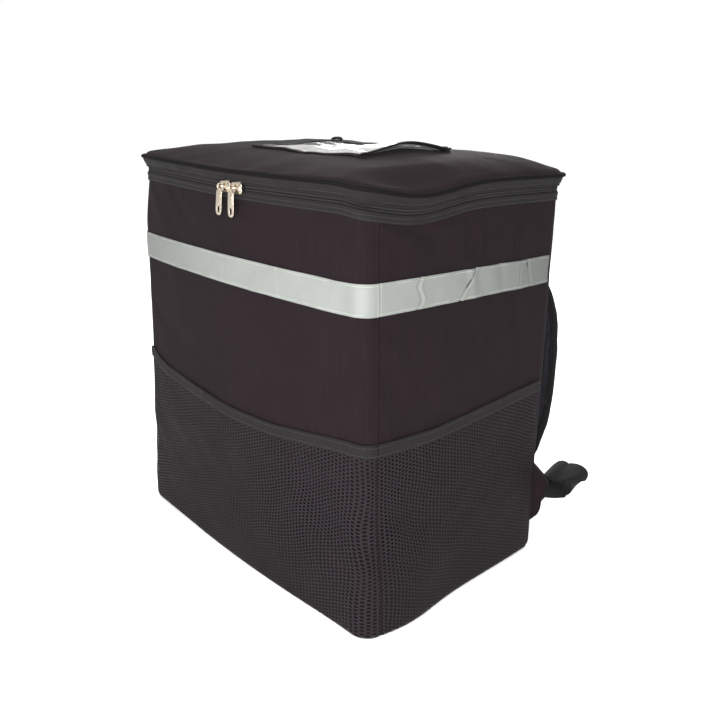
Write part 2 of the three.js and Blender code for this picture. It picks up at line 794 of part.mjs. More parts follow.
const zipFace = (x) => {
  const half = halfSizes(BODY_HEIGHT);
  return half.y + FRONT_BOW * (1 - (x / (half.x - BODY_CORNER)) ** 2);
};
const PULL_TILTS = { left: 7, right: 2 };
for (const [side, sign] of [["left", -1], ["right", 1]]) {
  const x = SLIDER_X + (sign * SLIDER_PITCH) / 2;
  const face = zipFace(x);
  const slider = addPiece(`slider_${side}`, sliderGeometry(), NICKEL);
  slider.rotation.set(Math.PI / 2, 0, 0);
  slider.position.set(x, -face - CHAIN_FRONT - GAP, bodyLevel.zip);
  const pull = addPiece(`pull_${side}`, pullGeometry(), NICKEL);
  pull.rotation.set(Math.PI / 2, THREE.MathUtils.degToRad(PULL_TILTS[side]), 0, "YXZ");
  pull.position.set(x + BAIL_X, -face - CHAIN_FRONT - GAP - hingeStand, bodyLevel.zip);
}

// Soft straps: sections set square to a path
const sweep = (path, across, width, thick, section) => {
  const frames = path.map((point, i) => {
    const before = path[Math.max(0, i - 1)];
    const after = path[Math.min(path.length - 1, i + 1)];
    const way = new THREE.Vector3().subVectors(after, before).normalize();
    const side = across[i].clone().addScaledVector(way, -across[i].dot(way)).normalize();
    const up = new THREE.Vector3().crossVectors(way, side);
    return { point, side, up };
  });
  return loft(
    frames.map(({ point, side, up }) =>
      section.map(([a, b]) =>
        point
          .clone()
          .addScaledVector(side, a * width)
          .addScaledVector(up, b * thick),
      ),
    ),
  );
};

const PADDED_SECTION = [
  [-0.5, 0],
  [-0.44, 0.4],
  [-0.25, 0.5],
  [0.25, 0.5],
  [0.44, 0.4],
  [0.5, 0],
  [0.44, -0.4],
  [0.25, -0.5],
  [-0.25, -0.5],
  [-0.44, -0.4],
];

// A flat strip in even spans, which keep its two faces apart where it twists
const FLAT_EDGE = Array.from({ length: FLAT_SPANS + 1 }, (_, i) => i / FLAT_SPANS - 0.5);
const FLAT_SECTION = [
  ...FLAT_EDGE.map((across) => [across, -0.5]),
  ...FLAT_EDGE.map((across) => [-across, 0.5]),
];

// Shoulder strap from its sewn top to its free end: height and stand-off from the back as shares
const STRAP_ROWS = [
  { down: 0, out: 0, across: -0.12 },
  { down: 0.07, out: 0, across: -0.1 },
  { down: 0.13, out: 0.04, across: -0.08 },
  { down: 0.19, out: 0.18, across: -0.05 },
  { down: 0.27, out: 0.41, across: -0.02 },
  { down: 0.335, out: 0.62, across: 0 },
  { down: 0.4, out: 0.8, across: 0 },
  { down: 0.5, out: 0.94, across: 0 },
  { down: 0.64, out: 1, across: 0 },
  { down: 0.76, out: 1, across: 0 },
  { down: 0.86, out: 0.89, across: 0.01 },
  { down: 0.94, out: 0.66, across: 0.02 },
  { down: 1, out: 0.41, across: 0.03 },
];
const strapTop = BODY_HEIGHT - STRAP_DROP;
const strapX = WIDTH_BASE / 2 - STRAP_INSET;
const backFace = (height) => halfSizes(height).y + BACK_BOW;
const strapSeat = STRAP_THICK / 2 + GAP;
const strapPath = STRAP_ROWS.map(({ down, out, across }) => {
  const height = mix(strapTop, STRAP_END, down);
  const y = backFace(height) + strapSeat + out * (STRAP_STANDOFF - strapSeat);
  return new THREE.Vector3(strapX * (1 + across), y, height);
});

const strapGeometry = () => {
  const across = strapPath.map(() => new THREE.Vector3(1, 0, 0));
  return sweep(strapPath, across, STRAP_WIDTH, STRAP_THICK, PADDED_SECTION);
};

// Adjuster: a plate with two slots, below the strap's end and in line with it
const strapEndPoint = strapPath[strapPath.length - 1];
const strapEndWay = new THREE.Vector3()
  .subVectors(strapEndPoint, strapPath[strapPath.length - 2])
  .normalize();
const lockMiddle = strapEndPoint.clone().addScaledVector(strapEndWay, LOCK_LENGTH / 2 + GAP);

const lockGeometry = () => {
  const shape = roundedBox(LOCK_WIDTH, LOCK_LENGTH, LOCK_CORNER);
  const slotTall = (LOCK_LENGTH - 3 * LOCK_BAR) / 2;
  for (const side of [-1, 1]) {
    const middle = (side * (slotTall + LOCK_BAR)) / 2;
    const wide = LOCK_WIDTH / 2 - LOCK_BAR;
    const slot = new THREE.Path();
    slot.moveTo(-wide, middle - slotTall / 2);
    slot.lineTo(-wide, middle + slotTall / 2);
    slot.lineTo(wide, middle + slotTall / 2);
    slot.lineTo(wide, middle - slotTall / 2);
    shape.holes.push(slot);
  }
  const plate = extrude(shape, LOCK_THICK);
  plate.translate(0, 0, -LOCK_THICK / 2);
  const side = new THREE.Vector3(1, 0, 0).addScaledVector(strapEndWay, -strapEndWay.x).normalize();
  const face = new THREE.Vector3().crossVectors(side, strapEndWay);
  plate.applyMatrix4(new THREE.Matrix4().makeBasis(side, strapEndWay, face));
  plate.translate(lockMiddle.x, lockMiddle.y, lockMiddle.z);
  return plate;
};

// Wing: a stiff cloth tab in the back corner's seam, as shares of its reach and of its height
const WING_OUTLINE = [
  { reach: 0, up: 0 },
  { reach: 0.45, up: 0.12 },
  { reach: 0.6, up: 0.24 },
  { reach: 0.6, up: 0.36 },
  { reach: 1, up: 0.45 },
  { reach: 1, up: 0.7 },
  { reach: 0, up: 1 },
];
const wingTurn = Math.PI / 4;
const wingWay = new THREE.Vector3(Math.cos(wingTurn), Math.sin(wingTurn), 0);
const wingHalf = halfSizes(WING_FOOT + WING_TALL / 2);
const wingRoot = new THREE.Vector3(wingHalf.x - BODY_CORNER, wingHalf.y - BODY_CORNER, 0);
wingRoot.addScaledVector(wingWay, BODY_CORNER + 1.4 * GAP);

const wingGeometry = () => {
  const shape = new THREE.Shape(
    WING_OUTLINE.map(({ reach, up }) => {
      const lean = WING_LEAN * (0.5 - up);
      return new THREE.Vector2(reach * WING_REACH + lean, WING_FOOT + up * WING_TALL);
    }),
  );
  const plate = extrude(shape, WING_THICK);
  plate.translate(0, 0, -WING_THICK / 2);
  plate.rotateX(Math.PI / 2);
  plate.rotateZ(wingTurn);
  plate.translate(wingRoot.x, wingRoot.y, 0);
  return plate;
};

// Webbing from the adjuster out into a loose loop and back to the wing. Each row starts from a share
// of the way between those two ends, and adds shares of the loop's reach, swing and rise. Side is
// the way that the webbing's width points
const wingEdge = wingRoot.clone().addScaledVector(wingWay, WING_REACH);
wingEdge.z = WING_FOOT + WING_TALL * 0.58;
const webbingStart = lockMiddle.clone().addScaledVector(strapEndWay, LOCK_LENGTH / 2 + GAP);
const WEBBING_ROWS = [
  { near: 0.01, reach: 0, swing: -0.24, rise: -0.79, side: [0.85, -0.5, 0.1] },
  { near: 0.04, reach: 0, swing: -0.06, rise: -1.4, side: [0.45, -0.89, 0] },
  { near: 0.17, reach: 0, swing: 0.22, rise: -1.95, side: [0.15, -0.99, 0] },
  { near: 0.38, reach: 0, swing: 0.55, rise: -1.6, side: [0.15, -0.98, -0.1] },
  { near: 0.84, reach: 0, swing: 0.94, rise: 0.6, side: [0.2, -0.95, -0.3] },
  { near: 1, reach: 0.1, swing: 1, rise: 0.76, side: [0.16, -0.94, -0.3] },
  { near: 1, reach: 0.5, swing: 0.98, rise: 0.92, side: [0.16, -0.94, -0.3] },
  { near: 1, reach: 0.84, swing: 0.88, rise: 0.9, side: [0.14, -0.95, -0.25] },
  { near: 1, reach: 0.97, swing: 0.8, rise: 0.64, side: [0.1, -0.97, -0.22] },
  { near: 1, reach: 0.88, swing: 0.72, rise: 0.34, side: [0.1, -0.97, -0.2] },
  { near: 1, reach: 0.6, swing: 0.6, rise: 0.14, side: [0.14, -0.95, -0.26] },
  { near: 1, reach: 0.3, swing: 0.3, rise: 0.04, side: [0.15, -0.95, -0.24] },
  { near: 1, reach: 0.06, swing: 0, rise: 0, side: [0.1, -0.96, -0.2] },
];

const webbingGeometry = () => {
  const path = [webbingStart, webbingStart.clone().addScaledVector(strapEndWay, LOCK_BAR)];
  const across = [new THREE.Vector3(1, 0, 0), new THREE.Vector3(1, 0, 0)];
  for (const { near, reach, swing, rise, side } of WEBBING_ROWS) {
    const away = new THREE.Vector3(reach * LOOP_REACH, swing * LOOP_SWING, rise * LOOP_RISE);
    path.push(webbingStart.clone().lerp(wingEdge, near).add(away));
    across.push(new THREE.Vector3(...side).normalize());
  }
  const curve = new THREE.CatmullRomCurve3(path);
  const spans = path.length - 1;
  const rings = spans * RINGS_PER_ROW;
  const points = curve.getPoints(rings);
  const sides = points.map((_, ring) => {
    const row = Math.min(Math.floor(ring / RINGS_PER_ROW), spans - 1);
    return across[row].clone().lerp(across[row + 1], ring / RINGS_PER_ROW - row).normalize();
  });
  return sweep(points, sides, WEBBING_WIDTH, WEBBING_THICK, FLAT_SECTION);
};

// The same pieces on both sides of the back, mirrored by turning their triangles over
const mirrored = (geometry) => {
  const copy = geometry.index ? geometry.clone() : mergeVertices(geometry.clone());
  copy.scale(-1, 1, 1);
  const index = Array.from(copy.index.array);
  for (let i = 0; i < index.length; i += 3) {
    [index[i + 1], index[i + 2]] = [index[i + 2], index[i + 1]];
  }
  copy.setIndex(index);
  return copy;
};
const backPieces = {
  shoulder_strap: [strapGeometry, STRAP_CLOTH],
  adjuster: [lockGeometry, HARD_PLASTIC],
  wing: [wingGeometry, BODY_CLOTH],
  webbing: [webbingGeometry, WEBBING],
};
for (const [name, [make, material]] of Object.entries(backPieces)) {
  addPiece(`${name}_right`, make(), material);
  addPiece(`${name}_left`, mirrored(make()), material);
}

// Set the whole part over the middle of its own box
const box = new THREE.Box3().setFromObject(group, true);
const middle = box.getCenter(new THREE.Vector3());
group.position.set(-middle.x, -middle.y, -box.min.z);
group.updateMatrixWorld(true);

export default group;
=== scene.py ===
"""Finish of the insulated backpack: cloth, zipper, net, film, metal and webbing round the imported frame.

The walls and the lid are drawn from the same sizes as the frame, in metres, with finer folds. A place
on them is a distance round the box, a level above the floor and a distance out from the wall."""

import json
import math

import bmesh
import bpy
import numpy as np
from bpy.props import FloatProperty, FloatVectorProperty, IntProperty, PointerProperty
from mathutils import Matrix, Vector


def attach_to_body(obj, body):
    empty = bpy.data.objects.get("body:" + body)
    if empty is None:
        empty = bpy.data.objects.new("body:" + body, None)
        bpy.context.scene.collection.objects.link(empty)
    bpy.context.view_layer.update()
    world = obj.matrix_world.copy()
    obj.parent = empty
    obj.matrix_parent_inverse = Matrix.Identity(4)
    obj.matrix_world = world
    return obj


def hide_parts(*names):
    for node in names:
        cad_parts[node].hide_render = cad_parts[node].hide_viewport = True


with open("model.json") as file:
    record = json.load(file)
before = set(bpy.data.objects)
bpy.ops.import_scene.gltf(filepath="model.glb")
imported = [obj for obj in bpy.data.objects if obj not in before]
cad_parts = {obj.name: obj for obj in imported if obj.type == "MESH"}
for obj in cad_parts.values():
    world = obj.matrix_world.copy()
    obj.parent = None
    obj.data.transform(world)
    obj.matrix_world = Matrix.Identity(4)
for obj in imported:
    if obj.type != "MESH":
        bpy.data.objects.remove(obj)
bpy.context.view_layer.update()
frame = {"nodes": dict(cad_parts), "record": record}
NODES = frame["nodes"]

bl_info = {
    "name": "Insulated Backpack",
    "version": (1, 0, 0),
    "blender": (4, 5, 0),
    "location": "3D View > Sidebar > Backpack",
    "description": "Makes the cloth, zipper, net, film, metal and webbing of an insulated backpack",
    "category": "Object",
}

MM = 0.001
TURN = 2 * math.pi

# The padded box, as the frame has it
WIDTH_TOP = 392 * MM
WIDTH_BASE = 420 * MM
DEPTH_TOP = 302 * MM
DEPTH_BASE = 291 * MM
BODY_HEIGHT = 431.7 * MM
WALL = 6 * MM
CORNER = 18 * MM
BASE_EDGE = 9 * MM
DEPTH_SHIFT = 28.731 * MM

# The lid and what joins it to the box
LID_CORNER = 23 * MM
LID_OVERHANG = 8 * MM
LID_WALL = 5 * MM
LID_RISE = 17.4 * MM
LID_FLAT_X = 7.8
LID_FLAT_Y = 4.7
LID_TILT = 0.3
PIPING_RADIUS = 2.4 * MM
BAND_FOOT = 438.9 * MM
PIPING_LEVEL = 450.4 * MM
CHAIN_MIDDLE = 435 * MM
ZIP_RETURN = 30 * MM
# How much longer the way round the bowed walls is than the sum of the plain sides' lengths
BOW_STRETCH = 1.043

# The sag of the rim behind the right front corner, and its slow rise towards the left
SAG_DEPTH = 11 * MM
SAG_CENTRE = -0.56
SAG_SPREAD = 0.39
SAG_START = 0.85
SAG_FADE = 364 * MM
RIM_LIFT = 3 * MM

# Strips and pockets on the walls
SILVER_LOW = 334 * MM
SILVER_HIGH = 364 * MM
POCKET_FOOT = 3 * MM
POCKET_TOP = 212 * MM
POCKET_BINDING = 12.5 * MM


class Side:
    """One face of the box: the way that it runs, the way that it looks and how far it bows."""

    def __init__(self, along, normal, bow):
        self.along = np.array(along, float)
        self.normal = np.array(normal, float)
        self.bow = bow


SIDES = {
    "left": Side((0, -1), (-1, 0), 2.8 * MM),
    "front": Side((1, 0), (0, -1), 9.8 * MM),
    "right": Side((0, 1), (1, 0), 2.8 * MM),
    "back": Side((-1, 0), (0, 1), 2 * MM),
}
SIDE_NAMES = list(SIDES)
CORNER_RUN = CORNER * math.pi / 2
SIDE_RUN = {
    "left": DEPTH_TOP - 2 * CORNER,
    "front": WIDTH_TOP - 2 * CORNER,
    "right": DEPTH_TOP - 2 * CORNER,
    "back": WIDTH_TOP - 2 * CORNER,
}


def side_starts():
    """How far round the box each side starts, and the whole way round."""
    starts = {}
    total = 0.0
    for name in SIDE_NAMES:
        starts[name] = total
        total += SIDE_RUN[name] + CORNER_RUN
    return starts, total


SIDE_START, WAY_ROUND = side_starts()
# Share along the back, from its middle, at which the zipper ends
ZIP_END = 1 - ZIP_RETURN / (SIDE_RUN["back"] / 2)


def way(side, share):
    """Distance round the box to a place on a side, whose share runs from -1 to 1."""
    return SIDE_START[side] + SIDE_RUN[side] * (share + 1) / 2


def smooth(low, high, value):
    share = np.clip((value - low) / (high - low), 0, 1)
    return share * share * (3 - 2 * share)


def mix(low, high, share):
    return low + (high - low) * share


# Folds of the cloth: the side, then the fold's start and end as shares along it and up it, and the
# fold's width and height in millimetres
FOLDS = [
    ("right", (-0.96, 0.975), (-0.55, 0.90), 9, 2.2),
    ("right", (-0.70, 0.985), (-0.30, 0.91), 8, -2.0),
    ("right", (-0.45, 0.97), (0.05, 0.93), 9, 1.5),
    ("right", (-0.15, 0.99), (0.15, 0.78), 9, -2.6),
    ("right", (-0.06, 0.86), (0.04, 0.74), 7, 2.2),
    ("right", (0.32, 0.86), (0.42, 0.70), 9, -1.6),
    ("right", (0.55, 0.90), (0.60, 0.66), 10, 1.4),
    ("right", (-0.92, 0.72), (-0.62, 0.60), 9, 1.4),
    ("right", (-0.95, 0.66), (-0.70, 0.53), 7, -1.1),
    ("right", (0.15, 0.66), (0.50, 0.58), 12, -1.5),
    ("right", (-0.30, 0.56), (0.30, 0.62), 16, 1.6),
    ("front", (0.98, 0.96), (0.72, 0.83), 10, -1.5),
    ("front", (0.99, 0.90), (0.80, 0.70), 12, 1.4),
    ("front", (-0.98, 0.97), (-0.70, 0.86), 11, 1.6),
    ("front", (-0.60, 0.96), (-0.35, 0.88), 9, -1.1),
    ("front", (0.10, 0.95), (0.35, 0.90), 8, 1.0),
    ("front", (-0.90, 0.62), (-0.50, 0.56), 14, -1.3),
    ("front", (0.30, 0.60), (0.85, 0.66), 16, 1.3),
    ("left", (0.90, 0.97), (0.45, 0.90), 10, 1.8),
    ("left", (0.20, 0.95), (-0.10, 0.82), 9, -1.6),
    ("left", (-0.30, 0.66), (0.30, 0.58), 15, 1.5),
    ("left", (0.85, 0.70), (0.60, 0.58), 9, -1.3),
    ("back", (-0.90, 0.88), (-0.45, 0.72), 14, 1.8),
    ("back", (0.90, 0.86), (0.50, 0.70), 14, 1.6),
    ("back", (-0.30, 0.42), (0.45, 0.50), 18, -1.8),
    ("back", (-0.70, 0.20), (-0.20, 0.28), 16, 1.5),
]


def fold_height(s, level):
    """How far the cloth's folds stand out at places on the wall."""
    total = np.zeros(np.broadcast(s, level).shape)
    for side, first, last, width, height in FOLDS:
        start = np.array([way(side, first[0]), first[1] * BODY_HEIGHT])
        end = np.array([way(side, last[0]), last[1] * BODY_HEIGHT])
        run = end - start
        length = float(np.hypot(*run))
        run = run / length
        ahead = (s - start[0]) * run[0] + (level - start[1]) * run[1]
        aside = (s - start[0]) * run[1] - (level - start[1]) * run[0]
        share = np.clip(ahead / length, 0, 1)
        beyond = ahead - share * length
        reach = width * MM * (0.7 + 0.6 * share)
        away = (aside**2 + beyond**2) / reach**2
        total += height * MM * np.exp(-away) * (1 - 0.55 * share)
    return total


def waves(seed, count, coarse, fine):
    """A smooth random relief, as a function of two lengths, from waves of seeded directions."""
    rng = np.random.default_rng(seed)
    angle = rng.uniform(0, TURN, count)
    size = np.exp(rng.uniform(math.log(fine), math.log(coarse), count))
    phase = rng.uniform(0, TURN, count)
    strength = (size / coarse) ** 0.8
    strength /= np.sqrt((strength**2).sum() / 2)

    def relief(a, b):
        total = np.zeros(np.broadcast(a, b).shape)
        for i in range(count):
            turn = (a * math.cos(angle[i]) + b * math.sin(angle[i])) / size[i]
            total += strength[i] * np.sin(TURN * turn + phase[i])
        return total

    return relief


SOFT_WAVES = waves(11, 26, 0.16, 0.045)
CRUMPLE = waves(23, 34, 0.05, 0.016)


def half_sizes(level):
    share = level / BODY_HEIGHT
    return mix(WIDTH_BASE, WIDTH_TOP, share) / 2, mix(DEPTH_BASE, DEPTH_TOP, share) / 2


def outline(s, half, corner, out):
    """Points on the rounded, bowed rectangle, moved out by a distance."""
    s = np.mod(s, WAY_ROUND)
    x = np.zeros(np.broadcast(s, half[0], out).shape)
    y = np.zeros_like(x)
    for name, side in SIDES.items():
        local = s - SIDE_START[name]
        run = SIDE_RUN[name]
        on_side = (local >= 0) & (local < run)
        on_corner = (local >= run) & (local < run + CORNER_RUN)
        reach = abs(side.along[0]) * half[0] + abs(side.along[1]) * half[1] - corner
        stand = abs(side.normal[0]) * half[0] + abs(side.normal[1]) * half[1]
        share = 2 * local / run - 1
        turn = (local - run) / CORNER_RUN * math.pi / 2
        along = np.where(on_corner, reach + (corner + out) * np.sin(turn), share * reach)
        bowed = stand + side.bow * (1 - share**2) + out
        off = np.where(on_corner, stand - corner + (corner + out) * np.cos(turn), bowed)
        here = on_side | on_corner
        x = np.where(here, side.along[0] * along + side.normal[0] * off, x)
        y = np.where(here, side.along[1] * along + side.normal[1] * off, y)
    return x, y


def sag(x, y):
    """How far the rim and the lid's edge hang down at places over the box."""
    half_x, half_y = WIDTH_TOP / 2, DEPTH_TOP / 2
    away = (y / half_y - SAG_CENTRE) / SAG_SPREAD
    drop = SAG_DEPTH * bell(away) * smooth(SAG_START, 1, x / half_x)
    lift = RIM_LIFT * smooth(0.2, -0.7, x / half_x)
    return drop - lift


# Where the wall leaves its plain shape: the place round the box, how wide, the levels between which it
# comes in, and how far out it goes
LEFT_CORNER = way("left", 1) + CORNER_RUN / 2
BULGES = [
    (way("right", -0.72), 60 * MM, 130 * MM, 40 * MM, 10 * MM),
    (LEFT_CORNER, 50 * MM, 90 * MM, 20 * MM, 3 * MM),
    (LEFT_CORNER, 46 * MM, 372 * MM, BODY_HEIGHT, -5 * MM),
]


def bell(away):
    return np.exp(-(away**2))


def bulge(s, level):
    """How far the wall bellies out by its front corners' feet, and in at the top left corner."""
    total = 0.0
    for spot, width, start, full, height in BULGES:
        total = total + height * bell((s - spot) / width) * smooth(start, full, level)
    return total


# The upright seams at the front corners, and which way each one's groove lies
CORNER_SEAMS = [(way("right", -0.985), 1), (way("left", 0.985), -1)]
NEAR_SEAM = np.array([-4.6, -3.4, -2.5, -1.8, -1.2, -0.6, 0, 0.6, 1.2, 1.8, 2.6, 3.6]) * MM


def seam_ridge(s):
    """The ridge and the groove of the seams."""
    total = np.zeros_like(s)
    for spot, turn in CORNER_SEAMS:
        aside = (s - spot) * turn
        total += 0.9 * MM * bell((aside + 1.2 * MM) / (1.0 * MM))
        total -= 1.5 * MM * bell((aside - 0.8 * MM) / (0.9 * MM))
    return total


def stops_with_seams(stops):
    """Places round the box, with finer ones in place of those near the seams."""
    for spot, _ in CORNER_SEAMS:
        stops = stops[np.abs(stops - spot) > 5 * MM]
        stops = np.sort(np.concatenate([stops, spot + NEAR_SEAM]))
    return stops


def place(s, level, out=0.0, soft=1.0):
    """Points on the walls, or on the zipper and the lid's edge above them, in the frame's metres."""
    s, level, out = np.broadcast_arrays(*(np.asarray(v, float) for v in (s, level, out)))
    low = np.clip((BASE_EDGE - level) / BASE_EDGE, 0, 1)
    tilt = np.arcsin(low)
    inset = BASE_EDGE * (1 - np.cos(tilt))
    relief = (fold_height(s, level) + 0.2 * MM * SOFT_WAVES(s, level)) * soft
    relief *= smooth(0, 0.12, level / BODY_HEIGHT) * smooth(1.0, 0.955, level / BODY_HEIGHT)
    up = smooth(BAND_FOOT, PIPING_LEVEL, level)
    corner = mix(CORNER, LID_CORNER, up)
    half = half_sizes(np.minimum(level, BODY_HEIGHT))
    x, y = outline(s, half, corner, out * np.cos(tilt) - inset + relief + bulge(s, level))
    drop = sag(x, y) * smooth(SAG_FADE, BODY_HEIGHT, level)
    return np.stack([x, y - DEPTH_SHIFT, level - out * np.sin(tilt) - drop], axis=-1)


def lid_top(x, y):
    """Height of the lid's cloth at places over the box, before its small puckers."""
    half_x, half_y = WIDTH_TOP / 2, DEPTH_TOP / 2
    share_x = np.clip(np.abs(x) / (half_x + LID_OVERHANG), 0, 1)
    share_y = np.clip(np.abs(y) / (half_y + LID_OVERHANG), 0, 1)
    crown = (1 - share_x**LID_FLAT_X) * (1 - share_y**LID_FLAT_Y)
    rise = LID_RISE * crown * (1 + LID_TILT * y / half_y)
    return PIPING_LEVEL - PIPING_RADIUS + LID_WALL + rise - sag(x, y)


# Mesh making


def put_in_scene(name, data):
    """A new object at the origin."""
    obj = bpy.data.objects.new(name, data)
    bpy.context.scene.collection.objects.link(obj)
    return obj


def soften(mesh):
    mesh.polygons.foreach_set("use_smooth", [True] * len(mesh.polygons))


def finished_shape(obj):
    """A plain mesh of what the piece is with its modifiers."""
    return bpy.data.meshes.new_from_object(obj.evaluated_get(bpy.context.evaluated_depsgraph_get()))


def vertex_places(mesh):
    where = np.empty(len(mesh.vertices) * 3)
    mesh.vertices.foreach_get("co", where)
    return where.reshape(-1, 3)


def lay_flat(mesh, flat):
    """Sets the cloth's map from two lengths at each vertex."""
    loops = np.empty(len(mesh.loops), dtype=np.int32)
    mesh.loops.foreach_get("vertex_index", loops)
    if "Cloth" not in mesh.uv_layers:
        mesh.uv_layers.new(name="Cloth")
    mesh.uv_layers["Cloth"].data.foreach_set("uv", flat[loops].astype(np.float32).ravel())


def one_way(direction, path):
    """The same direction at each point of a path."""
    return np.repeat(np.array([direction], float), len(path), axis=0)


def make_object(name, verts, faces, uvs=None, material=None, flat_angle=40):
    """A new object at the origin, with smooth faces and sharp edges past an angle."""
    mesh = bpy.data.meshes.new(name)
    mesh.from_pydata([tuple(v) for v in verts], [], faces)
    if uvs is not None:
        layer = mesh.uv_layers.new(name="Cloth")
        layer.data.foreach_set("uv", np.asarray(uvs, np.float32).ravel())
    soften(mesh)
    mesh.set_sharp_from_angle(angle=math.radians(flat_angle))
    mesh.update()
    obj = put_in_scene(name, mesh)
    if material is not None:
        mesh.materials.append(material)
    return obj


def turn_out(obj):
    """Turns the faces of a closed mesh outwards."""
    work = bmesh.new()
    work.from_mesh(obj.data)
    if work.calc_volume(signed=True) < 0:
        bmesh.ops.reverse_faces(work, faces=work.faces)
    work.to_mesh(obj.data)
    work.free()
    return obj


def loft(name, rings, across, along, closed=False, material=None, flat_angle=40):
    """A closed skin over rings of points, with a middle point at each end or joined end to end.

    across holds the cloth's width at each point of a ring and once more at its start, and along its
    length at each ring and, when closed, once more at the first."""
    rings = np.asarray(rings, float)
    count_rings, count = rings.shape[:2]
    verts = rings.reshape(-1, 3)
    faces = []
    uvs = []
    spans = count_rings if closed else count_rings - 1
    for i in range(spans):
        here = i * count
        there = ((i + 1) % count_rings) * count
        for j in range(count):
            k = (j + 1) % count
            faces.append((here + j, here + k, there + k, there + j))
            low, high = along[i], along[i + 1]
            uvs += [(across[j], low), (across[j + 1], low), (across[j + 1], high), (across[j], high)]
    if not closed:
        centres = [rings[0].mean(axis=0), rings[-1].mean(axis=0)]
        for end, centre in enumerate(centres):
            middle = len(verts) + end
            first = 0 if end == 0 else (count_rings - 1) * count
            ring = rings[0 if end == 0 else -1]
            for j in range(count):
                k = (j + 1) % count
                corners = (first + k, first + j, middle) if end == 0 else (first + j, first + k, middle)
                faces.append(corners)
                spots = [ring[c - first] if c != middle else centre for c in corners]
                uvs += [(p[0], p[1]) for p in spots]
        verts = np.vstack([verts, centres])
    obj = make_object(name, verts, faces, uvs, material, flat_angle)
    return turn_out(obj)


def thick_line(points, thickness, round_steps=4):
    """Closed outline round a line of (out, level) points, with rounded ends."""
    points = np.asarray(points, float)
    step = np.gradient(points, axis=0)
    step /= np.linalg.norm(step, axis=1)[:, None]
    normal = np.stack([step[:, 1], -step[:, 0]], axis=1)
    half = np.broadcast_to(np.asarray(thickness, float) / 2, len(points))[:, None]
    outer = points + normal * half
    inner = (points - normal * half)[::-1]
    caps = []
    for end, sign in ((-1, 1), (0, -1)):
        angles = np.linspace(-math.pi / 2, math.pi / 2, round_steps + 1)[1:-1]
        ahead = step[end] * sign
        aside = -normal[end] * sign
        caps.append([points[end] + half[end] * (ahead * math.cos(a) + aside * math.sin(a)) for a in angles])
    return np.vstack([outer, caps[0], inner, caps[1]])


def ring_lengths(ring):
    """Running length round a closed ring, with the whole length at the end."""
    closed = np.vstack([ring, ring[:1]])
    return np.concatenate([[0], np.cumsum(np.linalg.norm(np.diff(closed, axis=0), axis=1))])


def strip_round(name, stops, section, material=None, closed=False, soft=1.0, flat_angle=50):
    """A strip that follows the wall: section(s) gives its closed outline at each stop round the box."""
    rings = []
    for s in stops:
        line = section(s)
        rings.append(place(s, line[:, 1], line[:, 0], soft))
    across = ring_lengths(section(stops[0]))
    along = list(stops) + ([stops[0] + WAY_ROUND] if closed else [])
    obj = loft(name, rings, across, along, closed, material, flat_angle)
    return obj


def stops_between(start, end, step):
    count = max(2, int(round(abs(end - start) / step)))
    return np.linspace(start, end, count + 1)


def whole_way(step):
    count = int(round(WAY_ROUND / step))
    return np.arange(count) * WAY_ROUND / count


def curve_through(rows, steps):
    """Smooth line through rows of numbers, with a number of steps between each pair."""
    rows = np.asarray(rows, float)
    padded = np.vstack([2 * rows[0] - rows[1], rows, 2 * rows[-1] - rows[-2]])
    share = np.linspace(0, 1, steps, endpoint=False)[:, None]
    pieces = []
    for before, start, end, after in zip(padded[:-3], padded[1:-2], padded[2:-1], padded[3:]):
        slope = (end - before) / 2
        slope_end = (after - start) / 2
        a = 2 * share**3 - 3 * share**2 + 1
        b = share**3 - 2 * share**2 + share
        c = -2 * share**3 + 3 * share**2
        d = share**3 - share**2
        pieces.append(a * start + b * slope + c * end + d * slope_end)
    return np.vstack(pieces + [rows[-1:]])


def frames_along(path, across):
    """The way, the width's way and the face's way at each point of a path."""
    step = np.gradient(path, axis=0)
    step /= np.linalg.norm(step, axis=1)[:, None]
    side = across - (across * step).sum(axis=1)[:, None] * step
    side /= np.linalg.norm(side, axis=1)[:, None]
    return step, side, np.cross(step, side)


def path_lengths(path):
    return np.concatenate([[0], np.cumsum(np.linalg.norm(np.diff(path, axis=0), axis=1))])


def band_along(name, path, across, section, material=None, closed=False, flat_angle=50):
    """A closed section, one outline for each point or one for all, carried along a path."""
    if closed:
        around = np.vstack([path[-1:], path, path[:1]])
        sides = np.vstack([across[-1:], across, across[:1]])
        _, side, up = (v[1:-1] for v in frames_along(around, sides))
    else:
        _, side, up = frames_along(path, across)
    section = np.asarray(section, float)
    if section.ndim == 2:
        section = np.broadcast_to(section, (len(path),) + section.shape)
    rings = path[:, None] + section[..., :1] * side[:, None] + section[..., 1:] * up[:, None]
    along = path_lengths(np.vstack([path, path[:1]])) if closed else path_lengths(path)
    return loft(name, rings, ring_lengths(rings[0]), along, closed, material, flat_angle)


def round_box(width, height, corner, steps=3):
    """Closed outline of a rectangle with rounded corners, round its middle."""
    corner = min(corner, width / 2 * 0.999, height / 2 * 0.999)
    points = []
    for i, (sx, sy) in enumerate([(1, 1), (-1, 1), (-1, -1), (1, -1)]):
        middle = np.array([sx * (width / 2 - corner), sy * (height / 2 - corner)])
        for angle in np.linspace(i * math.pi / 2, (i + 1) * math.pi / 2, steps + 1):
            points.append(middle + corner * np.array([math.cos(angle), math.sin(angle)]))
    return np.array(points)


def joined(name, parts, material=None):
    """One object out of several, at the origin."""
    work = bmesh.new()
    for part in parts:
        work.from_mesh(part.data)
    mesh = bpy.data.meshes.new(name)
    work.to_mesh(mesh)
    work.free()
    for part in parts:
        bpy.data.objects.remove(part)
    if "Cloth" not in mesh.uv_layers:
        mesh.uv_layers.new(name="Cloth")
    mesh.set_sharp_from_angle(angle=math.radians(40))
    obj = put_in_scene(name, mesh)
    mesh.materials.clear()
    if material is not None:
        mesh.materials.append(material)
    return obj


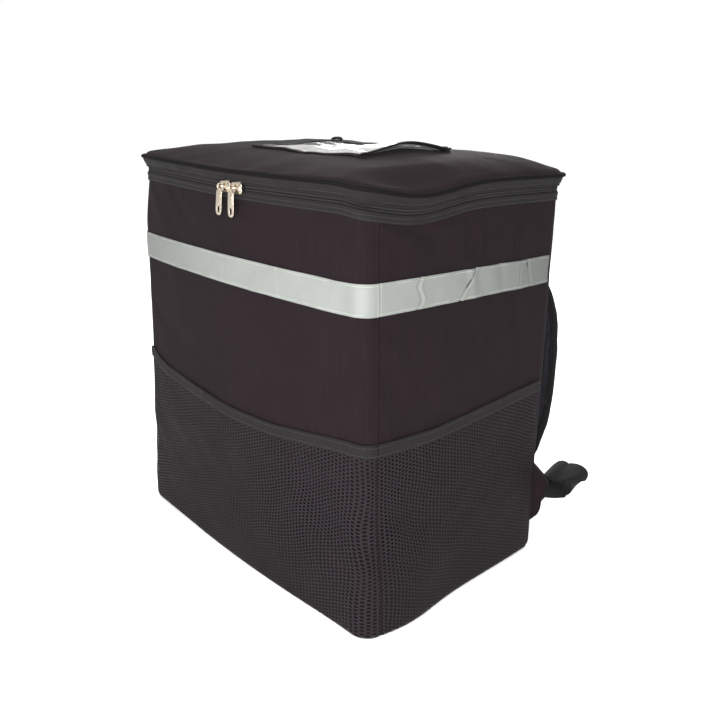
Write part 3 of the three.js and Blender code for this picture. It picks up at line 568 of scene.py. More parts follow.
def mirrored(obj, name):
    """A copy on the other side of the bag."""
    mesh = obj.data.copy()
    mesh.name = name
    mesh.transform(Matrix.Scale(-1, 4, (1, 0, 0)))
    mesh.flip_normals()
    return put_in_scene(name, mesh)


# Geometry node trees for what repeats


class NodeTree:
    """A geometry node tree with named inputs, built node by node."""

    def __init__(self, name, inputs):
        self.tree = bpy.data.node_groups.new(name, "GeometryNodeTree")
        face = self.tree.interface
        face.new_socket("Geometry", in_out="INPUT", socket_type="NodeSocketGeometry")
        face.new_socket("Geometry", in_out="OUTPUT", socket_type="NodeSocketGeometry")
        for label, kind in inputs:
            face.new_socket(label, in_out="INPUT", socket_type="NodeSocket" + kind)
        self.entry = self.tree.nodes.new("NodeGroupInput")
        self.exit = self.tree.nodes.new("NodeGroupOutput")

    def given(self, label):
        return self.entry.outputs[label]

    def node(self, kind, settings=None, values=None):
        made = self.tree.nodes.new(kind)
        for key, value in (settings or {}).items():
            setattr(made, key, value)
        for key, value in (values or {}).items():
            slot = made.inputs[key]
            if isinstance(value, bpy.types.NodeSocket):
                self.tree.links.new(value, slot)
            else:
                slot.default_value = value
        return made

    def maths(self, operation, *values):
        made = self.node("ShaderNodeMath", {"operation": operation}, dict(enumerate(values)))
        return made.outputs[0]

    def vector(self, x, y, z):
        return self.node("ShaderNodeCombineXYZ", None, {"X": x, "Y": y, "Z": z}).outputs[0]

    def finish(self, geometry):
        real = self.node("GeometryNodeRealizeInstances", None, {"Geometry": geometry})
        paint = self.node("GeometryNodeSetMaterial", None,
                          {"Geometry": real.outputs[0], "Material": self.given("Material")})
        self.tree.links.new(paint.outputs[0], self.exit.inputs[0])

    def run(self, name, mesh, values):
        """The tree's result on a mesh, as a plain object."""
        base = put_in_scene(name, mesh)
        modifier = base.modifiers.new("Repeat", "NODES")
        modifier.node_group = self.tree
        for item in self.tree.interface.items_tree:
            if item.in_out == "INPUT" and item.name in values:
                modifier[item.identifier] = values[item.name]
        result = finished_shape(base)
        base.modifiers.remove(modifier)
        bpy.data.objects.remove(base)
        result.name = name
        return put_in_scene(name, result)


def line_mesh(name, lines):
    """Loose edges along lines of points."""
    verts = []
    edges = []
    for line in lines:
        first = len(verts)
        verts += [tuple(p) for p in line]
        edges += [(first + i, first + i + 1) for i in range(len(line) - 1)]
    mesh = bpy.data.meshes.new(name)
    mesh.from_pydata(verts, edges, [])
    return mesh


def stitch_tree():
    """Long beads of thread along lines, end to end with gaps."""
    made = NodeTree("Stitches", [("Pitch", "Float"), ("Length", "Float"), ("Thickness", "Float"),
                                 ("Material", "Material")])
    lines = made.node("GeometryNodeMeshToCurve", None, {0: made.given("Geometry")})
    spots = made.node("GeometryNodeCurveToPoints", {"mode": "LENGTH"},
                      {"Curve": lines.outputs[0], "Length": made.given("Pitch")})
    bead = made.node("GeometryNodeMeshUVSphere", None, {"Segments": 6, "Rings": 4, "Radius": 0.5})
    across = made.given("Thickness")
    size = made.vector(across, across, made.given("Length"))
    put = made.node("GeometryNodeInstanceOnPoints", None,
                    {"Points": spots.outputs["Points"], "Instance": bead.outputs[0],
                     "Rotation": spots.outputs["Rotation"], "Scale": size})
    made.finish(put.outputs[0])
    return made


def coil_tree():
    """Two rows of leaning beads on each side of a line: the turns of a zipper's coil."""
    made = NodeTree("Coil", [("Pitch", "Float"), ("Height", "Float"), ("Depth", "Float"), ("Lean", "Float"),
                             ("Material", "Material")])
    lines = made.node("GeometryNodeMeshToCurve", None, {0: made.given("Geometry")})
    spots = made.node("GeometryNodeCurveToPoints", {"mode": "LENGTH"},
                      {"Curve": lines.outputs[0], "Length": made.given("Pitch")})
    turned = made.node("FunctionNodeAlignRotationToVector", {"axis": "X", "pivot_axis": "Z"},
                       {"Vector": spots.outputs["Tangent"]})
    bead = made.node("GeometryNodeMeshUVSphere", None, {"Segments": 8, "Rings": 6, "Radius": 0.5})
    wide = made.maths("MULTIPLY", made.given("Pitch"), 0.9)
    size = made.vector(wide, made.given("Depth"), made.given("Height"))
    rows = []
    for sign in (-1, 1):
        lean = made.maths("MULTIPLY", made.given("Lean"), sign)
        rise = made.maths("MULTIPLY", made.given("Height"), 0.46 * sign)
        ahead = made.maths("MULTIPLY", made.given("Pitch"), 0.25 * sign)
        one = made.node("GeometryNodeTransform", None, {"Geometry": bead.outputs[0], "Scale": size})
        tipped = made.node("GeometryNodeTransform", None,
                           {"Geometry": one.outputs[0], "Rotation": made.vector(0.0, lean, 0.0),
                            "Translation": made.vector(ahead, 0.0, rise)})
        rows.append(tipped.outputs[0])
    both = made.node("GeometryNodeJoinGeometry")
    for row in rows:
        made.tree.links.new(row, both.inputs[0])
    put = made.node("GeometryNodeInstanceOnPoints", None,
                    {"Points": spots.outputs["Points"], "Instance": both.outputs[0],
                     "Rotation": turned.outputs[0]})
    made.finish(put.outputs[0])
    return made


def net_tree():
    """A flat net of six-sided holes, every other column half a hole higher."""
    made = NodeTree("Net", [("Columns", "Int"), ("Rows", "Int"), ("Column Step", "Float"),
                            ("Row Step", "Float"), ("Open", "Float"), ("Material", "Material")])
    step_x, step_y = made.given("Column Step"), made.given("Row Step")
    last_x = made.maths("SUBTRACT", made.given("Columns"), 1)
    last_y = made.maths("SUBTRACT", made.given("Rows"), 1)
    grid = made.node("GeometryNodeMeshGrid", None,
                     {"Size X": made.maths("MULTIPLY", last_x, step_x),
                      "Size Y": made.maths("MULTIPLY", last_y, step_y),
                      "Vertices X": made.given("Columns"), "Vertices Y": made.given("Rows")})
    where = made.node("GeometryNodeInputPosition")
    apart = made.node("ShaderNodeSeparateXYZ", None, {0: where.outputs[0]})
    column = made.maths("ADD", made.maths("DIVIDE", apart.outputs["X"], step_x),
                        made.maths("DIVIDE", last_x, 2))
    odd = made.maths("MODULO", made.maths("ROUND", column), 2)
    rise = made.maths("MULTIPLY", made.maths("MULTIPLY", odd, step_y), 0.5)
    shifted = made.node("GeometryNodeSetPosition", None,
                        {"Geometry": grid.outputs[0], "Offset": made.vector(0.0, rise, 0.0)})
    cell = made.node("GeometryNodeMeshCircle", {"fill_type": "NGON"}, {"Vertices": 6, "Radius": 1.0})
    inset = made.node("GeometryNodeExtrudeMesh", {"mode": "FACES"},
                      {"Mesh": cell.outputs[0], "Offset Scale": 0.0})
    shrunk = made.node("GeometryNodeScaleElements", {"domain": "FACE"},
                       {"Geometry": inset.outputs["Mesh"], "Selection": inset.outputs["Top"],
                        "Scale": made.given("Open")})
    ring = made.node("GeometryNodeDeleteGeometry", {"domain": "FACE"},
                     {"Geometry": shrunk.outputs[0], "Selection": inset.outputs["Top"]})
    wide = made.maths("DIVIDE", step_x, 1.5)
    tall = made.maths("DIVIDE", step_y, math.sqrt(3))
    shaped = made.node("GeometryNodeTransform", None,
                       {"Geometry": ring.outputs[0], "Scale": made.vector(wide, tall, 1.0)})
    put = made.node("GeometryNodeInstanceOnPoints", None,
                    {"Points": shifted.outputs[0], "Instance": shaped.outputs[0]})
    real = made.node("GeometryNodeRealizeInstances", None, {"Geometry": put.outputs[0]})
    welded = made.node("GeometryNodeMergeByDistance", None,
                       {"Geometry": real.outputs[0], "Distance": 0.05 * MM})
    made.finish(welded.outputs[0])
    return made


TREES = {}


def tree_named(name):
    makers = {"stitches": stitch_tree, "coil": coil_tree, "net": net_tree}
    if name not in TREES:
        TREES[name] = makers[name]()
    return TREES[name]


# Sewing of the strips, of the padded edges and of the reflective tape: stitch and thread
STRIP_SEWING = (3.0 * MM, 0.45 * MM)
EDGE_SEWING = (3.2 * MM, 0.5 * MM)
WING_SEWING = (3.0 * MM, 0.5 * MM)
TAPE_SEWING = (2.8 * MM, 0.42 * MM)
STITCH_SHARE = 0.78


def stitched(name, lines, pitch=None, thick=None):
    """A piece of sewing: one stitch after another along lines of points."""
    pitch = pitch or detail().stitch
    thick = thick or detail().thread
    obj = tree_named("stitches").run(name, line_mesh(name, lines), {
        "Pitch": pitch,
        "Length": pitch * STITCH_SHARE,
        "Thickness": thick,
        "Material": finish_named("thread"),
    })
    soften(obj.data)
    return settle(obj, "bag", "trim_cloth")


# Materials


class Socket:
    """A number in a material, worked on with Python's operators."""

    def __init__(self, tree, link):
        self.tree = tree
        self.link = link

    def work(self, operation, *others):
        node = self.tree.nodes.new("ShaderNodeMath")
        node.operation = operation
        for slot, value in zip(node.inputs, (self,) + others):
            attach(self.tree, value, slot)
        return Socket(self.tree, node.outputs[0])

    def __add__(self, other):
        return self.work("ADD", other)

    __radd__ = __add__

    def __mul__(self, other):
        return self.work("MULTIPLY", other)

    __rmul__ = __mul__

    def __sub__(self, other):
        return self.work("SUBTRACT", other)

    def __rsub__(self, other):
        return (self * -1.0).work("ADD", other)

    def sine(self):
        return self.work("SINE")

    def absolute(self):
        return self.work("ABSOLUTE")

    def lowest(self, other):
        return self.work("MINIMUM", other)

    def highest(self, other):
        return self.work("MAXIMUM", other)


def attach(tree, value, slot):
    """Links a socket to an input, or sets the input to a number or colour."""
    if isinstance(value, Socket):
        tree.links.new(value.link, slot)
    elif isinstance(value, bpy.types.NodeSocket):
        tree.links.new(value, slot)
    else:
        slot.default_value = value


class Finish:
    """A material with a Principled shader, and one method that adds any other node."""

    def __init__(self, name, colour, roughness, metallic=0.0, **sockets):
        self.material = bpy.data.materials.new(name)
        self.material.use_nodes = True
        self.tree = self.material.node_tree
        self.shader = self.tree.nodes["Principled BSDF"]
        self.set("Base Color", (*colour, 1))
        self.set("Roughness", roughness)
        self.set("Metallic", metallic)
        for label, value in sockets.items():
            self.set(label.replace("_", " "), value)

    def set(self, label, value):
        attach(self.tree, value, self.shader.inputs[label])

    def node(self, kind, settings=None, **sockets):
        made = self.tree.nodes.new(kind)
        for key, value in (settings or {}).items():
            if key == "stops":
                ramp = made.color_ramp
                while len(ramp.elements) < len(value):
                    ramp.elements.new(1)
                for element, (position, colour) in zip(ramp.elements, value):
                    element.position = position
                    element.color = (*colour, 1)
            else:
                setattr(made, key, value)
        for label, value in sockets.items():
            key = int(label[1:]) if label[1:].isdigit() else label.replace("_", " ")
            attach(self.tree, value, made.inputs[key])
        return made

    def number(self, made, output=0):
        return Socket(self.tree, made.outputs[output])

    def cloth_lengths(self):
        """Lengths along the cloth's width and length, in metres, from its own map."""
        split = self.node("ShaderNodeSeparateXYZ", None, i0=self.cloth_map())
        return self.number(split, 0), self.number(split, 1)

    def cloth_map(self):
        return self.node("ShaderNodeUVMap", {"uv_map": "Cloth"}).outputs[0]

    def object_place(self):
        return self.node("ShaderNodeTexCoord").outputs["Object"]

    def noise(self, vector, scale, detail=3.0, roughness=0.55):
        return self.number(self.node("ShaderNodeTexNoise", None, Vector=vector, Scale=scale, Detail=detail,
                                     Roughness=roughness))

    def between(self, share, low, high):
        """A colour between two, by a share."""
        made = self.node("ShaderNodeMix", {"data_type": "RGBA"}, i0=share, i6=(*low, 1), i7=(*high, 1))
        return made.outputs[2]

    def relief(self, height, depth, strength=1.0, before=None):
        made = self.node("ShaderNodeBump", None, Strength=strength, Distance=depth, Height=height)
        if before is not None:
            attach(self.tree, before, made.inputs["Normal"])
        return made.outputs[0]


def scaled(colour, factor):
    return tuple(min(1.0, c * factor) for c in colour)


def woven(name, colour, roughness, rib, cross, depth, spread=0.18, sheen=0.06, ribs_up=True):
    """Woven cloth with ribs one way and finer threads the other, with uneven threads and faint dust."""
    finish = Finish(name, colour, roughness, Sheen_Weight=sheen, Sheen_Roughness=0.5)
    finish.set("Specular IOR Level", 0.04)
    width, length = finish.cloth_lengths()
    across, along = (width, length) if ribs_up else (length, width)
    place_on = finish.cloth_map()
    wobble = finish.noise(place_on, 90.0, 2.0) * 0.35
    ribs = ((across * (TURN / rib) + wobble * 2.0).sine() * 0.5 + 0.5)
    threads = ((along * (TURN / cross)).sine() * 0.5 + 0.5)
    checker = ribs * 0.65 + threads * 0.35
    stretch = (1 / rib / 3, 22.0, 1) if ribs_up else (22.0, 1 / rib / 3, 1)
    slub_place = finish.node("ShaderNodeMapping", None, Vector=place_on, Scale=stretch)
    slub = finish.noise(slub_place.outputs[0], 1.0, 3.0)
    patch = finish.noise(finish.object_place(), 14.0, 3.0)
    tone = slub * 0.5 + patch * 0.3 + checker * 0.35 - 0.1
    dark, light = scaled(colour, 1 - spread), scaled(colour, 1 + spread * 1.6)
    finish.set("Base Color", finish.between(tone, dark, light))
    finish.set("Roughness", patch * 0.12 + (roughness - 0.06))
    weave = finish.relief(checker + slub * 0.4, depth, 0.7)
    finish.set("Normal", finish.relief(finish.noise(finish.object_place(), 45.0, 3.0), 0.3 * MM, 0.3, weave))
    return finish.material


# What a user would change


class ClothColours(bpy.types.PropertyGroup):
    """Colours of the finishes."""

    body: FloatVectorProperty(name="Body cloth", description="Woven cloth of the box and lid",
                              default=(0.0086, 0.0056, 0.0068), subtype="COLOR", min=0, max=1)
    trim: FloatVectorProperty(name="Bindings", description="Piping, bindings and the band under the lid",
                              default=(0.0112, 0.0100, 0.0102), subtype="COLOR", min=0, max=1)
    tape: FloatVectorProperty(name="Reflective tape", description="Reflective tape round the box",
                              default=(0.185, 0.195, 0.182), subtype="COLOR", min=0, max=1)
    net: FloatVectorProperty(name="Net", description="Net of the pockets",
                             default=(0.0128, 0.0102, 0.0118), subtype="COLOR", min=0, max=1)
    film: FloatVectorProperty(name="Film", description="Clear film of the window pocket",
                              default=(0.34, 0.335, 0.32), subtype="COLOR", min=0, max=1)
    metal: FloatVectorProperty(name="Metal", description="Plating of the sliders and pulls",
                               default=(0.52, 0.455, 0.37), subtype="COLOR", min=0, max=1)
    strap: FloatVectorProperty(name="Straps", description="Cloth of the shoulder straps",
                               default=(0.0165, 0.0165, 0.020), subtype="COLOR", min=0, max=1)
    webbing: FloatVectorProperty(name="Webbing", description="Webbing at the lower corners",
                                 default=(0.0095, 0.0092, 0.0100), subtype="COLOR", min=0, max=1)


class ClothDetail(bpy.types.PropertyGroup):
    """Sizes of the sewing and the weave."""

    rib: FloatProperty(name="Rib", description="Distance between the cloth's upright ribs",
                       default=1.1 * MM, unit="LENGTH", min=0.0003)
    stitch: FloatProperty(name="Stitch", description="Distance from one stitch to the next",
                          default=3.0 * MM, unit="LENGTH", min=0.001)
    thread: FloatProperty(name="Thread", description="Thickness of the sewing thread",
                          default=0.55 * MM, unit="LENGTH", min=0.0002)
    coil: FloatProperty(name="Coil", description="Distance between the zipper coil's turns",
                        default=1.7 * MM, unit="LENGTH", min=0.0005)
    net_columns: FloatProperty(name="Net columns", description="Distance between columns of the net's holes",
                               default=4.8 * MM, unit="LENGTH", min=0.002)
    net_rows: FloatProperty(name="Net rows", description="Distance between the net's holes up a column",
                            default=4.1 * MM, unit="LENGTH", min=0.002)
    net_hole: FloatProperty(name="Net hole", description="Share of a net cell that is open",
                            default=0.62, min=0.2, max=0.9)


class StageSettings(bpy.types.PropertyGroup):
    """Floor and lights."""

    floor: FloatVectorProperty(name="Floor", description="Colour of the pale floor",
                               default=(0.9, 0.9, 0.9), subtype="COLOR", min=0, max=1)
    sky: FloatProperty(name="Sky", description="Strength of the even light all round",
                       default=1.0, min=0)
    key: FloatProperty(name="Key light", description="Power of the near light at the front right",
                       default=28.0, subtype="POWER", min=0)
    back: FloatProperty(name="Back light", description="Power of the light behind the bag",
                        default=26.0, subtype="POWER", min=0)
    top: FloatProperty(name="Top light", description="Power of the light overhead",
                       default=24.0, subtype="POWER", min=0)


def colours():
    return bpy.context.scene.pack_colours


def detail():
    return bpy.context.scene.pack_detail


def stage_settings():
    return bpy.context.scene.pack_stage


FINISHES = {}


def finish_named(name):
    """The material of that name, made once."""
    if name not in FINISHES:
        FINISHES[name] = FINISH_MAKERS[name]()
    return FINISHES[name]


def cloth_maker(name, colour, factor, roughness, *weave):
    """A function that makes one of the woven finishes."""
    def make():
        return woven(name, scaled(tuple(getattr(colours(), colour)), factor), roughness, *weave)
    return make


def body_cloth():
    return woven("Body cloth", tuple(colours().body), 0.82, detail().rib, 0.9 * MM, 0.16 * MM, 0.5, 0.01)


def sewing_thread(name, colour, dark, light):
    finish = Finish(name, colour, 0.6)
    twist = finish.noise(finish.object_place(), 1800.0, 1.0)
    finish.set("Base Color", finish.between(twist, dark, light))
    return finish.material


def thread():
    colour = tuple(colours().trim)
    return sewing_thread("Sewing thread", scaled(colour, 1.7), scaled(colour, 1.2), scaled(colour, 2.4))


def pale_thread():
    return sewing_thread("Pale thread", (0.42, 0.45, 0.42), (0.33, 0.36, 0.33), (0.5, 0.53, 0.5))


def coil_nylon():
    finish = Finish("Zipper coil", scaled(tuple(colours().trim), 1.1), 0.5)
    finish.set("Specular IOR Level", 0.14)
    streak = finish.noise(finish.object_place(), 300.0, 2.0)
    finish.set("Roughness", streak * 0.2 + 0.4)
    return finish.material


def silver_tape():
    """Reflective cloth: a pale, slightly metallic skin of tiny beads, with handling marks.

    The light that its beads send back is painted into its colour round the box as painted shade and painted
    highlight: darker towards the sides, lightest near the front right corner."""
    colour = tuple(colours().tape)
    finish = Finish("Reflective tape", colour, 0.5, 0.1)
    finish.set("Specular IOR Level", 0.2)
    beads = finish.noise(finish.cloth_map(), 2400.0, 1.0)
    marks = finish.noise(finish.object_place(), 26.0, 4.0)
    share_round = finish.cloth_lengths()[1] * (1 / WAY_ROUND)
    # Painted shade and painted highlight: the tape's brightness at places round the box, set by how the
    # lights fall on it
    spots = [("left", -1, 0.6), ("left", 1, 0.7), ("front", -0.9, 0.72), ("front", -0.1, 0.93),
             ("front", 0.85, 0.98), ("front", 1, 0.86), ("right", -0.9, 0.93), ("right", 0.1, 0.75),
             ("right", 1, 0.5)]
    stops = [(way(side, share) / WAY_ROUND, (value,) * 3) for side, share, value in spots]
    painted_light_round = finish.node("ShaderNodeValToRGB", {"stops": stops}, Fac=share_round).outputs[0]
    skin = finish.between(marks * 0.7 + beads * 0.3, scaled(colour, 0.9), scaled(colour, 1.12))
    mixed = finish.node("ShaderNodeMix", {"data_type": "RGBA", "blend_type": "MULTIPLY"}, i0=1.0, i6=skin,
                        i7=painted_light_round)
    finish.set("Base Color", mixed.outputs[2])
    finish.set("Roughness", marks * 0.2 + 0.42)
    grain = finish.relief(beads, 0.05 * MM, 0.5)
    finish.set("Normal", finish.relief(finish.noise(finish.object_place(), 70.0, 3.0), 0.6 * MM, 0.35, grain))
    return finish.material


def net_thread():
    colour = tuple(colours().net)
    finish = Finish("Net", colour, 0.62, Sheen_Weight=0.01)
    finish.set("Specular IOR Level", 0.05)
    width, length = finish.cloth_lengths()
    knit = ((width * (TURN / (0.55 * MM))).sine() * (length * (TURN / (0.7 * MM))).sine())
    patch = finish.noise(finish.object_place(), 18.0, 3.0)
    finish.set("Base Color", finish.between(patch, scaled(colour, 0.85), scaled(colour, 1.3)))
    finish.set("Normal", finish.relief(knit, 0.12 * MM, 0.6))
    return finish.material


def clear_film():
    """Soft clear film, milky where it is creased."""
    colour = tuple(colours().film)
    finish = Finish("Clear film", colour, 0.16)
    stretch = finish.node("ShaderNodeMapping", None, Vector=finish.cloth_map(), Scale=(14.0, 90.0, 1))
    creases = finish.noise(stretch.outputs[0], 1.0, 4.0, 0.6)
    ridge = (1 - (creases - 0.5).absolute() * 7.0).highest(0.0)
    along = finish.cloth_lengths()[1]
    ragged = creases * 60 * MM + (WINDOW_X - WINDOW_WIDTH / 2 + 2 * MM)
    milky = ((along - ragged) * 110.0).highest(0.0).lowest(1.0)
    finish.set("Alpha", (ridge * 0.3 + 0.5) * (milky * 0.8 + 0.2))
    finish.set("Roughness", creases * 0.2 + 0.08)
    finish.set("Normal", finish.relief(creases, 1.6 * MM, 0.7))
    return finish.material


def plated_metal():
    colour = tuple(colours().metal)
    finish = Finish("Plated metal", colour, 0.24, 1.0)
    wear = finish.noise(finish.object_place(), 220.0, 3.0)
    finish.set("Roughness", wear * 0.22 + 0.14)
    finish.set("Base Color", finish.between(wear, scaled(colour, 0.9), scaled(colour, 1.12)))
    finish.set("Normal", finish.relief(finish.noise(finish.object_place(), 900.0, 2.0), 0.03 * MM, 0.3))
    return finish.material


def moulded_plastic():
    finish = Finish("Moulded plastic", (0.016, 0.016, 0.018), 0.42)
    grain = finish.noise(finish.object_place(), 700.0, 3.0)
    finish.set("Roughness", grain * 0.2 + 0.34)
    finish.set("Normal", finish.relief(grain, 0.06 * MM, 0.4))
    return finish.material


def floor_paint():
    colour = tuple(stage_settings().floor)
    finish = Finish("Floor", colour, 0.7)
    mottle = finish.noise(finish.object_place(), 3.0, 2.0)
    finish.set("Base Color", finish.between(mottle, scaled(colour, 0.99), colour))
    finish.set("Emission Color", (1, 1, 1, 1))
    finish.set("Emission Strength", 0.14)
    return finish.material


FINISH_MAKERS = {
    "body_cloth": body_cloth,
    "trim_cloth": cloth_maker("Binding", "trim", 1, 0.75, 1.3 * MM, 0.8 * MM, 0.15 * MM, 0.3, 0.015, False),
    # The piping is the bindings' colour darkened to 0.4: partly the cord's own dark colour, partly painted
    # shade for the shadow line under the lid's edge
    "piping": cloth_maker("Piping", "trim", 0.4, 0.8, 1.3 * MM, 0.8 * MM, 0.15 * MM, 0.3, 0.0, False),
    "strap_cloth": cloth_maker("Strap cloth", "strap", 1, 0.85, 1.0 * MM, 0.8 * MM, 0.14 * MM, 0.3, 0.015),
    "zip_tape": cloth_maker("Zipper tape", "trim", 1, 0.7, 0.8 * MM, 1.6 * MM, 0.12 * MM, 0.3, 0.015, False),
    "webbing": cloth_maker("Webbing", "webbing", 1, 0.7, 2.0 * MM, 1.2 * MM, 0.3 * MM, 0.4, 0.015),
    "thread": thread,
    "pale_thread": pale_thread,
    "zip_coil": coil_nylon,
    "silver_tape": silver_tape,
    "net": net_thread,
    "clear_film": clear_film,
    "nickel": plated_metal,
    "hard_plastic": moulded_plastic,
    "floor": floor_paint,
}


def settle(obj, body, slot, *nodes):
    """Rides the piece on its body and hides the nodes that it stands for; the finish's slot is not used."""
    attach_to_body(obj, body)
    if nodes:
        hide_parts(*nodes)
    return obj


# Cloth of the box and the lid


# Steps round the box and the lid, and how many levels the wall has
BOX_STEP = 3.4 * MM
LID_STEP = 4.2 * MM
STRIP_STEP = 3.2 * MM
WALL_LEVELS = 132
# How high the cloth's small puckers and the lid's gathers stand, and how far its edge tucks down
PUCKER = 0.09 * MM
GATHER = 0.45 * MM
LID_TUCK = 3.2 * MM


class PACK_OT_box(bpy.types.Operator):
    """Makes the padded box, with its folds, its corner seams and its open rim"""

    bl_idname = "pack.box"
    bl_label = "Padded box"

    def execute(self, context):
        stops = stops_with_seams(whole_way(BOX_STEP))
        base = BASE_EDGE * (1 - np.sin(np.radians([90, 72, 54, 36, 18])))
        walls = np.linspace(BASE_EDGE, BODY_HEIGHT, WALL_LEVELS)
        levels = np.concatenate([base, walls])
        ridge = seam_ridge(stops)
        rings = []
        along = []
        for level in levels:
            groove = ridge * smooth(0, 0.05, level / BODY_HEIGHT)
            pucker = PUCKER * CRUMPLE(stops, level)
            rings.append(place(stops, level, groove + pucker))
            along.append(level)
        inner = np.concatenate([levels[::-8], [levels[0]]])
        for level in inner:
            rings.append(place(stops, level, -WALL))
            along.append(along[-1] + 0.03)
        across = np.concatenate([stops, [WAY_ROUND]])
        obj = loft("box_cloth", rings, across, along, material=finish_named("body_cloth"))
        settle(obj, "bag", "body_cloth", "body_shell")
        return {"FINISHED"}


class PACK_OT_lid(bpy.types.Operator):
    """Makes the padded lid, puffed up between the piping, with puckers along its edge"""

    bl_idname = "pack.lid"
    bl_label = "Padded lid"

    def execute(self, context):
        stops = whole_way(LID_STEP)
        edge_out = LID_OVERHANG - PIPING_RADIUS * 0.4
        edge = place(stops, PIPING_LEVEL, edge_out)[:, :2] + np.array([0, DEPTH_SHIFT])
        shares = np.concatenate([np.linspace(0.03, 0.8, 34), np.linspace(0.815, 1, 18)])
        gathers = np.sin(stops / (9.5 * MM) + 1.7 * np.sin(stops / 0.06)) * (0.6 + 0.4 * np.sin(stops / 0.11))

        def ring(share, depth):
            x, y = edge[:, 0] * share, edge[:, 1] * share
            z = lid_top(x, y) - depth
            near = smooth(0.78, 0.97, share) * smooth(1.0, 0.975, share)
            if depth == 0:
                z = z + GATHER * gathers * near
                z = z + (GATHER * SOFT_WAVES(x, y) + 0.1 * MM * CRUMPLE(x, y)) * smooth(1.0, 0.93, share)
                z = z - LID_TUCK * smooth(0.972, 1.0, share)
            return np.stack([x, y - DEPTH_SHIFT, z], axis=-1)

        rings = [ring(share, 0) for share in shares]
        under = [ring(share, LID_WALL) for share in shares[::-4]]
        along = list(shares * 0.2) + [0.2 + 0.01 * (i + 1) for i in range(len(under))]
        across = np.concatenate([stops, [WAY_ROUND]])
        obj = loft("lid_cloth", rings + under, across, along, material=finish_named("body_cloth"))
        self.flat_map(obj)
        settle(obj, "bag", "body_cloth", "lid_panel")
        return {"FINISHED"}

    @staticmethod
    def flat_map(obj):
        """Lays the lid's weave out flat, seen from above."""
        lay_flat(obj.data, vertex_places(obj.data)[:, :2])


class PACK_OT_lid_edge(bpy.types.Operator):
    """Makes the piping and the sloping band under the lid's edge, and the cloth hinge behind"""

    bl_idname = "pack.lid_edge"
    bl_label = "Lid edge"

    def execute(self, context):
        stops = whole_way(STRIP_STEP)
        twist = 0.12 * MM * np.sin(stops / (3.1 * MM)) + 0.1 * MM * np.sin(stops / (17 * MM))
        piping = []
        angles = np.linspace(0, TURN, 15)[:-1]
        for s, more in zip(stops, twist):
            radius = PIPING_RADIUS - 0.25 * MM + more
            piping.append(place(s, PIPING_LEVEL + radius * np.sin(angles),
                                LID_OVERHANG + radius * np.cos(angles)))
        along = list(stops) + [WAY_ROUND]
        tube = loft("lid_piping_cord", piping, np.arange(15) * MM, along, True, finish_named("piping"))
        settle(tube, "bag", "trim_cloth", "lid_piping")

        line = [(7.6, 448.2), (6.9, 446.9), (5.7, 445.2), (4.3, 443.4), (3.0, 441.9), (2.1, 440.8),
                (1.9, 440.0), (2.1, 439.4)]
        thick = [0.8, 1.0, 1.1, 1.1, 1.2, 1.5, 2.1, 1.5]
        smooth_line = curve_through([(*p, t) for p, t in zip(line, thick)], 3) * MM
        wobble = waves(31, 14, 0.07, 0.02)

        def section(s):
            points = smooth_line[:, :2].copy()
            points[:, 0] += 0.35 * MM * wobble(s, points[:, 1] * 2.5)
            return thick_line(points, smooth_line[:, 2])

        band = strip_round("lid_edge_band", stops, section, finish_named("trim_cloth"), True)
        settle(band, "bag", "trim_cloth", "lid_band")

        behind = thick_line([(0.45 * MM, BAND_FOOT + 0.4 * MM), (0.2 * MM, BAND_FOOT - 0.8 * MM)], 1.0 * MM)
        hinge_line = curve_through([(1.0, 424.0), (1.1, 427.0), (1.6, 430.0), (2.4, 433.5), (2.0, 436.5),
                                    (1.3, 438.2)], 3) * MM
        hinge_stops = stops_between(way("back", -ZIP_END), way("back", ZIP_END), 3 * MM)
        hinge = strip_round("lid_hinge_cloth", hinge_stops, lambda s: thick_line(hinge_line, 1.2 * MM),
                            finish_named("trim_cloth"))
        settle(hinge, "bag", "trim_cloth", "lid_hinge")
        upper = strip_round("upper_zipper_tape", self.zipper_stops(), lambda s: behind,
                            finish_named("zip_tape"))
        settle(upper, "bag", "zip_tape", "zipper_tape_upper")
        return {"FINISHED"}

    @staticmethod
    def zipper_stops():
        return stops_between(way("back", ZIP_END) - WAY_ROUND, way("back", -ZIP_END), STRIP_STEP)


# The zipper coil's height, depth and lean, in metres and radians
COIL_HEIGHT = 3.1 * MM
COIL_DEPTH = 2.2 * MM
COIL_LEAN = 0.16


